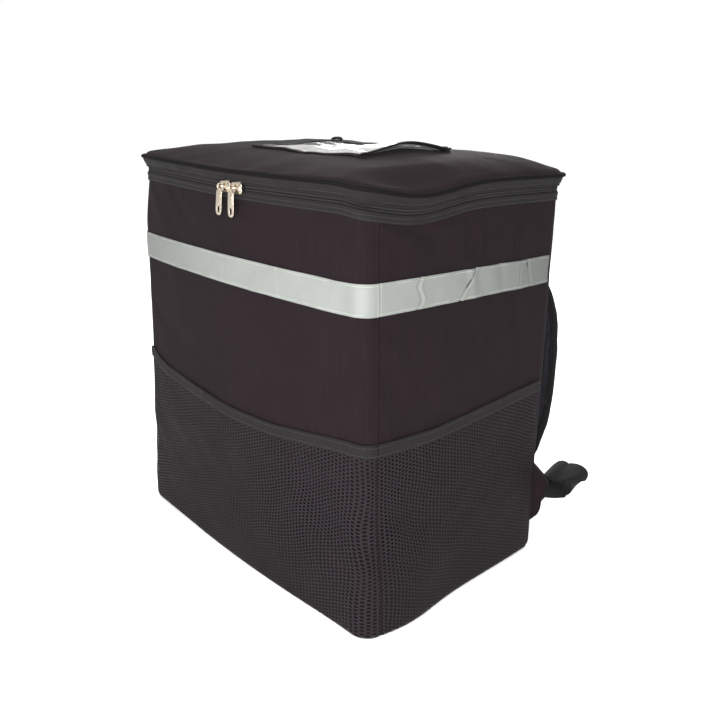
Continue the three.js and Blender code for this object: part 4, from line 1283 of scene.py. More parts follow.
class PACK_OT_zipper(bpy.types.Operator):
    """Makes the zipper's coil, its lower tape with a folded edge, and its stitching"""

    bl_idname = "pack.zipper"
    bl_label = "Zipper"

    def execute(self, context):
        stops = PACK_OT_lid_edge.zipper_stops()
        coil_line = place(stops, CHAIN_MIDDLE, -0.5 * MM)
        coil = tree_named("coil").run("zipper_coil", line_mesh("zipper_coil", [coil_line]), {
            "Pitch": detail().coil,
            "Height": COIL_HEIGHT,
            "Depth": COIL_DEPTH,
            "Lean": COIL_LEAN,
            "Material": finish_named("zip_coil"),
        })
        soften(coil.data)
        settle(coil, "bag", "zip_coil", "zipper_chain")
        behind = thick_line([(-1.9 * MM, 432.2 * MM), (-1.9 * MM, 437.8 * MM)], 0.7 * MM)
        backing = strip_round("zipper_backing", stops, lambda s: behind, finish_named("zip_tape"))
        settle(backing, "bag", "zip_tape")

        wobble = waves(37, 12, 0.08, 0.025)
        line = curve_through([(0.8, 423.5, 0.9), (0.9, 426.0, 1.0), (1.0, 428.5, 1.0), (1.3, 430.3, 1.5),
                              (1.0, 431.6, 1.7), (0.1, 431.9, 1.2), (-1.0, 432.0, 0.8)], 3) * MM

        def section(s):
            points = line[:, :2].copy()
            points[:, 0] += 0.2 * MM * wobble(s, points[:, 1] * 2)
            return thick_line(points, line[:, 2])

        tape = strip_round("lower_zipper_tape", stops, section, finish_named("zip_tape"))
        settle(tape, "bag", "zip_tape", "zipper_tape_lower")
        rows = [place(stops, 424.6 * MM, 1.45 * MM), place(stops, 428.6 * MM, 1.6 * MM)]
        stitched("zipper_stitches", rows)
        everywhere = whole_way(3 * MM)
        foot = place(np.append(everywhere, WAY_ROUND), 441.6 * MM, 3.45 * MM)
        stitched("band_stitches", [foot])
        return {"FINISHED"}


# Creases across the tape: side, share along it at the foot and at the top, and bow as a share, then
# width and height in millimetres
TAPE_CREASES = [
    ("right", -0.62, -0.575, 0.03, 1.5, -1.1),
    ("right", -0.585, -0.54, 0.03, 1.3, 0.7),
    ("right", -0.16, 0.03, 0.0, 1.7, -1.3),
    ("right", -0.13, 0.065, 0.0, 1.5, 0.9),
    ("right", 0.56, 0.585, 0.01, 1.1, -0.9),
    ("right", 0.74, 0.67, 0.0, 1.5, -1.1),
    ("right", 0.78, 0.72, 0.0, 1.2, 0.6),
    ("front", -0.03, 0.0, 0.0, 1.6, -0.4),
    ("front", 0.50, 0.47, 0.0, 1.6, -0.4),
    ("left", 0.3, 0.38, 0.02, 1.5, -0.8),
    ("left", -0.5, -0.42, 0.0, 1.6, -0.8),
]


def tape_creases(s, level):
    """How far the tape stands out or in at its creases."""
    up = (level - SILVER_LOW) / (SILVER_HIGH - SILVER_LOW)
    total = np.zeros(np.broadcast(s, level).shape)
    for side, foot, top, bow, width, height in TAPE_CREASES:
        share = mix(foot, top, up) + bow * np.sin(TURN * up)
        aside = (s - way(side, share)) / (width * MM)
        total += height * MM * bell(aside)
    return total


class PACK_OT_reflective_tape(bpy.types.Operator):
    """Makes the reflective tape with its creases, and the two rows of stitches that hold it"""

    bl_idname = "pack.reflective_tape"
    bl_label = "Reflective tape"

    def execute(self, context):
        start, end = way("left", -0.995), way("right", 0.995)
        stops = stops_with_seams(stops_between(start, end, 1.2 * MM))
        levels = np.linspace(SILVER_LOW, SILVER_HIGH, 21)
        loose = waves(41, 18, 0.05, 0.014)

        def middle(s):
            lift = 0.16 * MM * loose(s, levels) + tape_creases(s, levels)
            lift += 0.8 * seam_ridge(np.array([s]))[0]
            return np.stack([0.95 * MM + lift, levels], axis=1)

        tape = strip_round("reflective_tape_cloth", stops, lambda s: thick_line(middle(s), 0.55 * MM, 3),
                           finish_named("silver_tape"), flat_angle=60)
        settle(tape, "bag", "silver_tape", "reflective_tape")
        (end - start) * BOW_STRETCH
        rows = [place(stops, level, 1.2 * MM) for level in (SILVER_LOW + 2 * MM, SILVER_HIGH - 2 * MM)]
        sewing = stitched("tape_stitches", rows, *TAPE_SEWING)
        sewing.data.materials.clear()
        sewing.data.materials.append(finish_named("pale_thread"))
        return {"FINISHED"}


# How high the pockets' bound edge runs, as a share of its height, at shares along each side
POCKET_LINE = {
    "front": [(-1, 0.035), (-0.93, -0.01), (-0.78, -0.04), (-0.4, -0.062), (0, -0.085), (0.4, -0.07),
              (0.8, -0.02), (1, 0.0)],
    "right": [(-1, -0.01), (-0.85, -0.015), (-0.4, -0.022), (0.2, 0.005), (0.7, 0.025), (1, 0.032)],
}
POCKET_LINE["left"] = [(-share, rise) for share, rise in reversed(POCKET_LINE["right"])]


def pocket_top(s):
    """Height of the pockets' top edge at places round the front and the sides."""
    spots = []
    for side in ("left", "front", "right"):
        spots += [(way(side, share), POCKET_TOP * (1 + rise)) for share, rise in POCKET_LINE[side]]
    spots = np.array(spots)
    near = np.array([-6, -3, 0, 3, 6]) * MM
    return np.mean([np.interp(s + step, spots[:, 0], spots[:, 1]) for step in near], axis=0)


class PACK_OT_pockets(bpy.types.Operator):
    """Makes the net pockets on the front and the sides, with their bound top edges"""

    bl_idname = "pack.pockets"
    bl_label = "Net pockets"

    def execute(self, context):
        seam_left, seam_right = way("left", 1), way("right", -1)
        gap = 0.8 * MM
        runs = {
            "front": (seam_left + gap, seam_right - gap),
            "right": (seam_right + gap, way("right", 1)),
            "left": (way("left", -1), seam_left - gap),
        }
        for side, (start, end) in runs.items():
            net = self.net(side, start, end)
            self.binding(side, start, end)
            end - start
        return {"FINISHED"}

    def net(self, side, start, end):
        columns = int(round((end - start) / detail().net_columns))
        rows = int(round((POCKET_TOP - POCKET_BINDING - POCKET_FOOT) / detail().net_rows))
        step_x = (end - start) / columns
        obj = tree_named("net").run(f"net_{side}", bpy.data.meshes.new("net"), {
            "Columns": columns + 1,
            "Rows": rows + 1,
            "Column Step": step_x,
            "Row Step": detail().net_rows,
            "Open": detail().net_hole,
            "Material": finish_named("net"),
        })
        mesh = obj.data
        flat = vertex_places(mesh)
        s = np.clip(flat[:, 0] + (start + end) / 2, start, end)
        share = np.clip(flat[:, 1] / (rows * detail().net_rows) + 0.5, 0, 1)
        slack = waves(53, 16, 0.12, 0.035)
        bend = 2.2 * MM * np.sin(share * math.pi) * slack(s, share * 0.1)
        level = POCKET_FOOT + share * (pocket_top(s) - POCKET_BINDING + 1.2 * MM - POCKET_FOOT)
        belly = (1.0 * MM + 0.7 * MM * slack(s + 3, share * 0.2)) * np.sin(share * math.pi) ** 0.6
        belly = np.maximum(belly, 0.1 * MM)
        edge = smooth(0, 12 * MM, np.minimum(s - start, end - s))
        where = place(s + bend * edge, level, 0.75 * MM + belly * edge, 0.6)
        mesh.vertices.foreach_set("co", where.ravel())
        lay_flat(mesh, np.stack([s, level], axis=1))
        work = bmesh.new()
        work.from_mesh(mesh)
        bmesh.ops.remove_doubles(work, verts=work.verts, dist=0.02 * MM)
        bmesh.ops.dissolve_degenerate(work, edges=work.edges, dist=0.02 * MM)
        bmesh.ops.recalc_face_normals(work, faces=work.faces)
        work.faces.ensure_lookup_table()
        middle = work.faces[len(work.faces) // 2]
        outward = middle.calc_center_median() + Vector((0, DEPTH_SHIFT, 0))
        if middle.normal.xy.dot(outward.xy) < 0:
            bmesh.ops.reverse_faces(work, faces=work.faces)
        work.to_mesh(mesh)
        work.free()
        wall = obj.modifiers.new("Thread", "SOLIDIFY")
        wall.thickness = 0.7 * MM
        wall.offset = 0
        solid = finished_shape(obj)
        obj.modifiers.remove(wall)
        obj.data = solid
        soften(solid)
        settle(obj, "bag", "net", f"net_pocket_{side}")
        return obj

    def binding(self, side, start, end):
        stops = stops_between(start, end, 2.6 * MM)
        ripple = waves(61, 12, 0.06, 0.02)

        def section(s):
            top = float(pocket_top(np.array(s)))
            shares = np.linspace(0, 1, 9)
            bulge = 0.35 * MM * np.sin(shares * math.pi) + 0.22 * MM * ripple(s, shares * 0.01)
            points = np.stack([1.55 * MM + bulge, top - POCKET_BINDING * (1 - shares)], axis=1)
            return thick_line(points, 1.5 * MM)

        binding = strip_round(f"pocket_edge_{side}", stops, section, finish_named("trim_cloth"), soft=0.6)
        settle(binding, "bag", "trim_cloth", f"pocket_binding_{side}")
        rows = []
        for down in (2.2 * MM, POCKET_BINDING - 2.0 * MM):
            rows.append(place(stops, pocket_top(stops) - down, 2.62 * MM, 0.6))
        stitched(f"pocket_stitches_{side}", rows, *EDGE_SEWING)


# The window pocket's size, and its middle's place over the box
WINDOW_WIDTH = 186 * MM
WINDOW_DEPTH = 128 * MM
WINDOW_X = 28 * MM
WINDOW_Y = -18 * MM
WINDOW_BORDER = 7 * MM
FILM_LIFT = 8.2 * MM


def on_lid(x, y, up):
    """Points over the lid's cloth, at a height above it."""
    relief = 0.9 * MM * SOFT_WAVES(x, y)
    return np.stack(np.broadcast_arrays(x, y - DEPTH_SHIFT, lid_top(x, y) + relief + up), axis=-1)


def film_lift(share_x, share_y):
    """How far the film stands up towards its open end."""
    arch = FILM_LIFT * np.cos(np.clip(share_y, -1, 1) * math.pi / 2) ** 0.8
    over = 1.7 * MM
    return smooth(0.3, 0.93, share_x) * mix(over, np.maximum(over, arch), share_x)


class PACK_OT_window(bpy.types.Operator):
    """Makes the clear window pocket: its bound border, its creased film and its gaping mouth"""

    bl_idname = "pack.window"
    bl_label = "Window pocket"

    def execute(self, context):
        self.border()
        self.film()
        self.lip()
        return {"FINISHED"}

    def border(self):
        left, right = WINDOW_X - WINDOW_WIDTH / 2, WINDOW_X + WINDOW_WIDTH / 2
        front, back = WINDOW_Y - WINDOW_DEPTH / 2, WINDOW_Y + WINDOW_DEPTH / 2
        inset = WINDOW_BORDER / 2
        bars = [
            ((left + inset, front + inset), (right, front + inset)),
            ((left + inset, back - inset), (right, back - inset)),
            ((left + inset, front + inset), (left + inset, back - inset)),
        ]
        parts = []
        rows = []
        ripple = waves(71, 10, 0.05, 0.015)
        for number, (start, end) in enumerate(bars):
            flat = np.linspace(start, end, 44)
            path = on_lid(flat[:, 0], flat[:, 1], 0.95 * MM)
            path[:, 2] += 0.3 * MM * ripple(flat[:, 0], flat[:, 1] + number)
            way_on = np.array(end) - np.array(start)
            across = np.array([-way_on[1], way_on[0], 0]) / np.linalg.norm(way_on)
            across = one_way(across, path)
            section = round_box(WINDOW_BORDER, 1.4 * MM, 0.65 * MM)
            parts.append(band_along(f"window_bar_{number}", path, across, section))
            up = np.array([0, 0, 0.85 * MM])
            for side in (-0.3, 0.3):
                rows.append(path + across * WINDOW_BORDER * side + up)
        obj = joined("window_border_cloth", parts, finish_named("trim_cloth"))
        settle(obj, "bag", "trim_cloth", "window_border")
        stitched("window_stitches", rows, *STRIP_SEWING)

    def film(self):
        left = WINDOW_X - WINDOW_WIDTH / 2 + WINDOW_BORDER * 0.6
        right = WINDOW_X + WINDOW_WIDTH / 2 - 5 * MM
        half = WINDOW_DEPTH / 2 - WINDOW_BORDER * 0.6
        share_x = np.linspace(0, 1, 110)[:, None]
        share_y = np.linspace(-1, 1, 96)[None, :]
        x = mix(left, right, share_x) + 0 * share_y
        y = WINDOW_Y + share_y * half + 0 * share_x
        long_creases = waves(83, 22, 0.035, 0.009)
        cross = waves(89, 12, 0.06, 0.02)
        creases = long_creases(x * 0.22 + 0.3 * y, y) * 0.9 + cross(x, y * 0.5) * 0.35
        ridged = np.abs(creases) ** 0.8 * np.sign(creases)
        calm = smooth(0, 0.06, share_x) * smooth(1.0, 0.93, np.abs(share_y)) * smooth(1.0, 0.96, share_x)
        up = 0.75 * MM + film_lift(share_x, share_y) + 0.55 * MM * (1.2 + ridged) * (0.25 + 0.75 * calm)
        top = on_lid(x, y, up)
        rings = []
        for row in range(top.shape[0]):
            line = top[row]
            rings.append(np.vstack([line, line[::-1] - np.array([0, 0, 0.28 * MM])]))
        rings = np.array(rings)
        across = np.concatenate([y[0], y[0][::-1], y[0][:1]])
        obj = loft("window_film_sheet", rings, across, x[:, 0], material=finish_named("clear_film"),
                   flat_angle=80)
        settle(obj, "bag", "clear_film", "window_film")

    def lip(self):
        share = np.linspace(-1, 1, 70)
        x = np.full(len(share), WINDOW_X + WINDOW_WIDTH / 2 - 3.2 * MM)
        y = WINDOW_Y + share * WINDOW_DEPTH / 2
        path = on_lid(x, y, 1.5 * MM + film_lift(np.ones(len(share)), share * 1.04) + 0.2 * MM)
        path[:, 0] += 0.8 * MM * np.sin(share * 7) * (1 - share**2)
        across = one_way((1, 0, 0.22), path)
        section = thick_line(curve_through([(-3.6, 0.1), (0, 0.35), (3.4, 0.0)], 4) * MM, 1.7 * MM)
        lip = band_along("window_lip_binding", path, across, section, finish_named("trim_cloth"))
        settle(lip, "bag", "trim_cloth", "window_lip")
        across = across[0] / np.linalg.norm(across[0])
        rows = [path + across * 1.8 * MM + np.array([0, 0, 1.1 * MM])]
        stitched("lip_stitches", rows, *STRIP_SEWING)
        self.bunches()

    def bunches(self):
        """The binding's bunched ends at the window's two back corners."""
        parts = []
        for number, side in enumerate((-1, 1)):
            x = WINDOW_X + side * (WINDOW_WIDTH / 2 - 6 * MM)
            y = WINDOW_Y + WINDOW_DEPTH / 2 - 3 * MM
            turns = np.linspace(0, 1, 22)
            flat_x = x + side * (turns - 0.5) * 15 * MM
            hump = np.sin(turns * math.pi)
            path = on_lid(flat_x, y + 2 * MM * np.sin(turns * 5), 2.6 * MM + 1.6 * MM * hump)
            across = one_way((0, 1, 0), path)
            size = 0.55 + 0.45 * hump
            section = np.array([round_box(6 * MM * k, 3.0 * MM * k, 1.2 * MM) for k in size])
            parts.append(band_along(f"bunch_{number}", path, across, section))
        obj = joined("window_corner_folds", parts, finish_named("trim_cloth"))
        settle(obj, "bag", "trim_cloth")


# Hard pieces


def rounded_outline(width, height, corner, steps=6, middle=(0, 0)):
    """Outline of a flat rectangle with round corners."""
    return round_box(width, height, corner, steps) + np.array(middle)


def with_mirror(points, signs):
    """The points, and then their mirror images in the opposite order."""
    return list(points) + [tuple(np.array(point) * signs) for point in points[::-1]]


def soft_outline(points, corner, steps=5):
    """Outline through points with each corner cut to a round one."""
    points = np.asarray(points, float)
    line = []
    for before, here, after in zip(np.roll(points, 1, axis=0), points, np.roll(points, -1, axis=0)):
        back, ahead = before - here, after - here
        reach = min(corner, np.linalg.norm(back) * 0.45, np.linalg.norm(ahead) * 0.45)
        start = here + back / np.linalg.norm(back) * reach
        end = here + ahead / np.linalg.norm(ahead) * reach
        for t in np.linspace(0, 1, steps + 1):
            line.append((1 - t) ** 2 * start + 2 * t * (1 - t) * here + t * t * end)
    return np.array(line)


def plate(name, outlines, thickness, bevel, material=None):
    """A flat plate with round edges from an outline and its holes, in its own plane."""
    curve = bpy.data.curves.new(name, "CURVE")
    curve.dimensions = "2D"
    curve.fill_mode = "BOTH"
    curve.extrude = thickness / 2 - bevel
    curve.bevel_depth = bevel
    curve.bevel_resolution = 2
    curve.offset = -bevel
    for line in outlines:
        spline = curve.splines.new("POLY")
        spline.points.add(len(line) - 1)
        for point, (x, y) in zip(spline.points, line):
            point.co = (x, y, 0, 1)
        spline.use_cyclic_u = True
    drawn = put_in_scene(name, curve)
    mesh = finished_shape(drawn)
    bpy.data.objects.remove(drawn)
    work = bmesh.new()
    work.from_mesh(mesh)
    bmesh.ops.remove_doubles(work, verts=work.verts, dist=0.002 * MM)
    bmesh.ops.recalc_face_normals(work, faces=work.faces)
    work.to_mesh(mesh)
    work.free()
    return finished_mesh(name, mesh, material)


def finished_mesh(name, mesh, material=None, flat_angle=35):
    """An object for a mesh, smooth but for its sharp edges, with a flat map."""
    mesh.materials.clear()
    if material is not None:
        mesh.materials.append(material)
    if "Cloth" not in mesh.uv_layers:
        mesh.uv_layers.new(name="Cloth")
    soften(mesh)
    mesh.set_sharp_from_angle(angle=math.radians(flat_angle))
    return put_in_scene(name, mesh)


def rod(name, path, across, width, height, corner, material=None):
    """A bar of a round-cornered section along a path."""
    path = np.asarray(path, float)
    section = round_box(width, height, corner)
    return band_along(name, path, one_way(across, path), section, material, flat_angle=45)


def dome(name, radius, squash, middle, material=None):
    """A flattened round knob."""
    work = bmesh.new()
    bmesh.ops.create_uvsphere(work, u_segments=28, v_segments=16, radius=radius)
    bmesh.ops.scale(work, vec=(1, 0.92, squash), verts=work.verts)
    bmesh.ops.translate(work, vec=middle, verts=work.verts)
    mesh = bpy.data.meshes.new(name)
    work.to_mesh(mesh)
    work.free()
    return finished_mesh(name, mesh, material)


# Zipper sliders and pulls, as the frame has them, and how far each pull leans, in degrees
SLIDER_LENGTH = 18.6 * MM
SLIDER_TALL = 12.4 * MM
SLIDER_PLATE = 1.7 * MM
SLIDER_BLOCK = 3.1 * MM
PLATE_TOP = SLIDER_BLOCK + SLIDER_PLATE
CROWN_X = 5.6 * MM
CROWN_RADIUS = 3.7 * MM
BAIL_X = -3.2 * MM
BAIL_SPAN = 7.4 * MM
BAIL_BAR = 2 * MM
HINGE_STAND = 8.45 * MM
PULL_LENGTH = 29 * MM
PULL_WIDTH = 10 * MM
PULL_THICK = 1.6 * MM
EYE_RADIUS = 3.2 * MM
EYE_BORE = 1.75 * MM
PULL_TURNS = {"left": 7, "right": 2}


class PACK_OT_sliders(bpy.types.Operator):
    """Makes the two metal zipper sliders, with their crowns and bridges, and the two pulls"""

    bl_idname = "pack.sliders"
    bl_label = "Sliders and pulls"

    def execute(self, context):
        pivots = {joint["child"]: joint["pos_m"] for joint in frame["record"]["behaviour"]["joints"]}
        for side, turn in PULL_TURNS.items():
            pivot = Vector(pivots[f"{side}_pull"])
            upright = Matrix.Rotation(math.pi / 2, 4, "X")
            lean = Matrix.Rotation(math.radians(turn), 4, "Y")
            seat = Matrix.Translation(pivot + Vector((-BAIL_X, HINGE_STAND, 0)))
            slider = joined(f"zip_slider_{side}", self.slider(), finish_named("nickel"))
            slider.data.transform(seat @ upright)
            settle(slider, "bag", "nickel", f"slider_{side}")
            pull = joined(f"zip_pull_{side}", self.pull(), finish_named("nickel"))
            pull.data.transform(Matrix.Translation(pivot) @ lean @ upright)
            settle(pull, f"{side}_pull", "nickel", f"pull_{side}")
        return {"FINISHED"}

    @staticmethod
    def slider():
        half, tall = SLIDER_LENGTH / 2, SLIDER_TALL / 2
        edge = [(-half, -tall * 0.72), (-half * 0.2, -tall * 0.84), (half * 0.55, -tall), (half, -tall * 0.7)]
        top_line = soft_outline(with_mirror(edge, (1, -1)), 3.2 * MM)
        top = plate("top", [top_line], SLIDER_PLATE, 0.6 * MM)
        top.data.transform(Matrix.Translation((0, 0, SLIDER_BLOCK + SLIDER_PLATE / 2)))
        core = rounded_outline(SLIDER_LENGTH * 0.84, 5.6 * MM, 1.5 * MM)
        block = plate("block", [core], SLIDER_BLOCK, 0.3 * MM)
        block.data.transform(Matrix.Translation((0, 0, SLIDER_BLOCK / 2)))
        parts = [top, block]
        for side in (-1, 1):
            line = [(-half * 0.9, side * tall * 0.70, 0), (-half * 0.2, side * tall * 0.80, 0),
                    (half * 0.5, side * tall * 0.93, 0), (half * 0.86, side * tall * 0.74, 0)]
            path = curve_through(line, 5) + np.array([0, 0, SLIDER_BLOCK * 0.72])
            parts.append(rod("flange", path, (0, 1, 0), 1.1 * MM, 2.3 * MM, 0.4 * MM))
        parts.append(dome("crown", CROWN_RADIUS, 0.62, (CROWN_X, 0, PLATE_TOP - 0.2 * MM)))
        foot = BAIL_SPAN / 2 + BAIL_BAR / 2
        rise = HINGE_STAND - PLATE_TOP
        leg = [(-foot, 0, -0.4 * MM), (-foot, 0, rise * 0.5), (-foot * 0.86, 0, rise * 0.92),
               (-foot * 0.5, 0, rise)]
        arch = curve_through(with_mirror(leg, (-1, 1, 1)), 5)
        arch += np.array([BAIL_X, 0, PLATE_TOP])
        parts.append(rod("bridge", arch, (0, 1, 0), 2.3 * MM, BAIL_BAR * 0.92, 0.7 * MM))
        return parts

    @staticmethod
    def pull():
        half = PULL_WIDTH / 2
        neck_top, shoulder = -2.5 * MM, -5.7 * MM
        tip = -PULL_LENGTH
        edge = [(-1.9 * MM, neck_top + 1.0 * MM), (-3.2 * MM, neck_top - 1.2 * MM), (-half * 0.93, shoulder),
                (-half, tip + 4.2 * MM), (-half * 0.62, tip)]
        line = soft_outline(with_mirror(edge, (-1, 1)), 2.2 * MM)
        hole = rounded_outline(3.6 * MM, 6.2 * MM, 1.7 * MM, 6, (0, tip + 5.9 * MM))
        tab = plate("tab", [line, hole[::-1]], PULL_THICK, 0.5 * MM)
        edge = [(-half * 0.66, shoulder - 1.6 * MM), (-half * 0.72, tip + 11.2 * MM)]
        rim = soft_outline(with_mirror(edge, (-1, 1)), 1.6 * MM)
        parts = [tab]
        for side in (-1, 1):
            pad = plate("pad", [rim], 0.5 * MM, 0.22 * MM)
            pad.data.transform(Matrix.Translation((0, 0, side * (PULL_THICK / 2 + 0.1 * MM))))
            parts.append(pad)
        angles = np.linspace(0, TURN, 33)[:-1]
        middle = (EYE_RADIUS + EYE_BORE) / 2
        ring = np.stack([0 * angles, middle * np.cos(angles), middle * np.sin(angles)], axis=1)
        across = one_way((1, 0, 0), ring)
        section = round_box(2.2 * MM, EYE_RADIUS - EYE_BORE, 0.6 * MM)
        parts.append(band_along("eye", ring, across, section, closed=True))
        return parts


# The back's straps, adjusters, webbing and wings, as the frame has them
STRAP_WIDTH = 66 * MM
STRAP_THICK = 12 * MM
STRAP_STANDOFF = 75 * MM
STRAP_TOP = BODY_HEIGHT - 19.7 * MM
STRAP_END = 84 * MM
STRAP_X = WIDTH_BASE / 2 - 78 * MM
GAP = 0.3 * MM
# How far down, how far out and how far across the strap's middle runs, as shares
STRAP_ROWS = [(0, 0, -0.12), (0.07, 0, -0.1), (0.13, 0.04, -0.08), (0.19, 0.18, -0.05), (0.27, 0.41, -0.02),
              (0.335, 0.62, 0), (0.4, 0.8, 0), (0.5, 0.94, 0), (0.64, 1, 0), (0.76, 1, 0), (0.86, 0.89, 0.01),
              (0.94, 0.66, 0.02), (1, 0.41, 0.03)]
LOCK_LENGTH = 24 * MM
LOCK_THICK = 5 * MM
LOCK_BAR = 4.5 * MM
WEBBING_WIDTH = 38 * MM
WEBBING_THICK = 2 * MM
LOCK_WIDTH = WEBBING_WIDTH + 2 * (LOCK_BAR + 0.6 * MM)
WING_THICK = 5 * MM
WING_ROUND = 1.7 * MM
WING_REACH = 20 * MM
WING_FOOT = 32 * MM
WING_TALL = 80 * MM
WING_LEAN = 1.2 * MM
WING_OUTLINE = [(0, 0), (0.45, 0.12), (0.6, 0.24), (0.6, 0.36), (1, 0.45), (1, 0.7), (0, 1)]
LOOP = np.array([28.5, 20, 20]) * MM
# The webbing's way: share of the way to the wing, shares of the loop's size, and where its width points
WEBBING_ROWS = [
    (0.01, (0, -0.24, -0.79), (0.85, -0.5, 0.1)),
    (0.04, (0, -0.06, -1.4), (0.45, -0.89, 0)),
    (0.17, (0, 0.22, -1.95), (0.15, -0.99, 0)),
    (0.38, (0, 0.55, -1.6), (0.15, -0.98, -0.1)),
    (0.84, (0, 0.94, 0.6), (0.2, -0.95, -0.3)),
    (1, (0.1, 1, 0.76), (0.16, -0.94, -0.3)),
    (1, (0.5, 0.98, 0.92), (0.16, -0.94, -0.3)),
    (1, (0.84, 0.88, 0.9), (0.14, -0.95, -0.25)),
    (1, (0.97, 0.8, 0.64), (0.1, -0.97, -0.22)),
    (1, (0.88, 0.72, 0.34), (0.1, -0.97, -0.2)),
    (1, (0.6, 0.6, 0.14), (0.14, -0.95, -0.26)),
    (1, (0.3, 0.3, 0.04), (0.15, -0.95, -0.24)),
    (1, (0.06, 0, 0), (0.1, -0.96, -0.2)),
]


def back_face(level):
    return half_sizes(level)[1] + SIDES["back"].bow


def strap_points():
    down, out, across = np.array(STRAP_ROWS).T
    level = mix(STRAP_TOP, STRAP_END, down)
    seat = STRAP_THICK / 2 + GAP
    y = back_face(level) + seat + out * (STRAP_STANDOFF - seat)
    return np.stack([STRAP_X * (1 + across), y - DEPTH_SHIFT, level], axis=1)


def along_path(obj, path, across):
    """Maps the weave of a piece along a path: its width across it, and its length down it."""
    where = vertex_places(obj.data)
    near = np.argmin(((where[:, None] - path[None]) ** 2).sum(axis=2), axis=1)
    step, side, _ = frames_along(path, across)
    offset = where - path[near]
    wide = (offset * side[near]).sum(axis=1)
    length = path_lengths(path)[near] + (offset * step[near]).sum(axis=1)
    lay_flat(obj.data, np.stack([wide, length], axis=1))


def swelled(obj, voxel, pressure, cap):
    """Blows cloth up round its padding, holds each point's way to a limit, and smooths the result."""
    remesh = obj.modifiers.new("Even cloth", "REMESH")
    remesh.mode = "VOXEL"
    remesh.voxel_size = voxel
    apply_modifiers(obj)
    start = vertex_places(obj.data)
    cloth = obj.modifiers.new("Padding", "CLOTH")
    cloth.settings.quality = 6
    cloth.settings.mass = 0.2
    cloth.settings.use_pressure = True
    cloth.settings.uniform_pressure_force = pressure
    cloth.settings.effector_weights.gravity = 0
    scene = bpy.context.scene
    for number in range(1, 21):
        scene.frame_set(number)
    shape = obj.evaluated_get(bpy.context.evaluated_depsgraph_get())
    end = vertex_places(shape.data)
    obj.modifiers.remove(cloth)
    scene.frame_set(1)
    move = end - start
    length = np.linalg.norm(move, axis=1)
    held = move * np.minimum(1, cap / np.maximum(length, 1e-9))[:, None]
    obj.data.vertices.foreach_set("co", (start + held).ravel())
    finer = obj.modifiers.new("Finer", "SUBSURF")
    finer.levels = finer.render_levels = 1
    apply_modifiers(obj)
    soften(obj.data)
    return obj


def apply_modifiers(obj):
    """Puts what the modifiers make into the piece's mesh."""
    mesh = finished_shape(obj)
    obj.modifiers.clear()
    old = obj.data
    obj.data = mesh
    bpy.data.meshes.remove(old)


def on_both_sides(obj, body, slot, right, left, *nodes):
    """Settles a piece of the right side, and its mirror image on the left."""
    twin = mirrored(obj, left)
    obj.name = right
    settle(obj, body, slot, *[f"{node}_right" for node in nodes])
    settle(twin, body, slot, *[f"{node}_left" for node in nodes])
    return obj, twin


class PACK_OT_straps(bpy.types.Operator):
    """Makes the two padded shoulder straps, with bound and stitched edges"""

    bl_idname = "pack.straps"
    bl_label = "Shoulder straps"

    def execute(self, context):
        path = curve_through(strap_points(), 7)
        across = one_way((1, 0, 0), path)
        length = path_lengths(path)
        total = length[-1]
        ends = smooth(0, 14 * MM, length) * smooth(total, total - 12 * MM, length)
        wide = STRAP_WIDTH - 6 * MM
        sections = []
        for share in ends:
            thick = mix(5.0, 7.4, share) * MM
            line = np.linspace(-1, 1, 15)
            rise = thick / 2 * (1 - np.abs(line) ** 3.2)
            upper = np.stack([line * wide / 2, rise + 0.9 * MM], axis=1)
            lower = np.stack([line[::-1] * wide / 2, -rise - 0.9 * MM], axis=1)
            sections.append(np.vstack([upper, lower]))
        pad = band_along("strap_padding", path, across, np.array(sections), finish_named("strap_cloth"))
        pad = swelled(pad, 4.2 * MM, 4.0, 3.2 * MM)
        pad.data.materials.clear()
        pad.data.materials.append(finish_named("strap_cloth"))
        along_path(pad, path, across)
        pads = on_both_sides(pad, "bag", "strap_cloth", "strap_pad_right", "strap_pad_left", "shoulder_strap")
        self.bindings(path, across, ends)
        self.sewing(path, across)
        return {"FINISHED"}

    @staticmethod
    def bindings(path, across, ends):
        """Cloth folded round both long edges."""
        parts = []
        ripple = waves(97, 12, 0.05, 0.014)
        length = path_lengths(path)
        for side in (-1, 1):
            shape = [(-6.4, 3.1, 0.9), (-3.0, 2.7, 0.9), (-0.6, 1.5, 1.1), (0.1, 0, 1.3), (-0.6, -1.5, 1.1),
                     (-3.0, -2.7, 0.9), (-6.4, -3.1, 0.9)]
            line = curve_through(shape, 3) * MM
            sections = []
            for at in length:
                points = line[:, :2].copy()
                points[:, 1] *= 1 + 0.06 * ripple(at, side * 0.1)
                points[:, 0] += STRAP_WIDTH / 2 - 0.9 * MM + 0.25 * MM * ripple(at, side * 0.2)
                points[:, 0] *= side
                sections.append(thick_line(points, line[:, 2]))
            parts.append(band_along("edge", path, across, np.array(sections)))
        obj = joined("strap_binding", parts, finish_named("trim_cloth"))
        along_path(obj, path, across)
        on_both_sides(obj, "bag", "trim_cloth", "strap_binding_right", "strap_binding_left")

    @staticmethod
    def sewing(path, across):
        """Stitches along the bindings, on both faces."""
        _, side, up = frames_along(path, across)
        rows = []
        for edge in (-1, 1):
            for face in (-1, 1):
                rows.append(path + side * edge * (STRAP_WIDTH / 2 - 5.9 * MM) + up * face * 3.75 * MM)
        obj = stitched("strap_stitches", rows, *EDGE_SEWING)
        settle(mirrored(obj, "strap_stitches_left"), "bag", "trim_cloth")


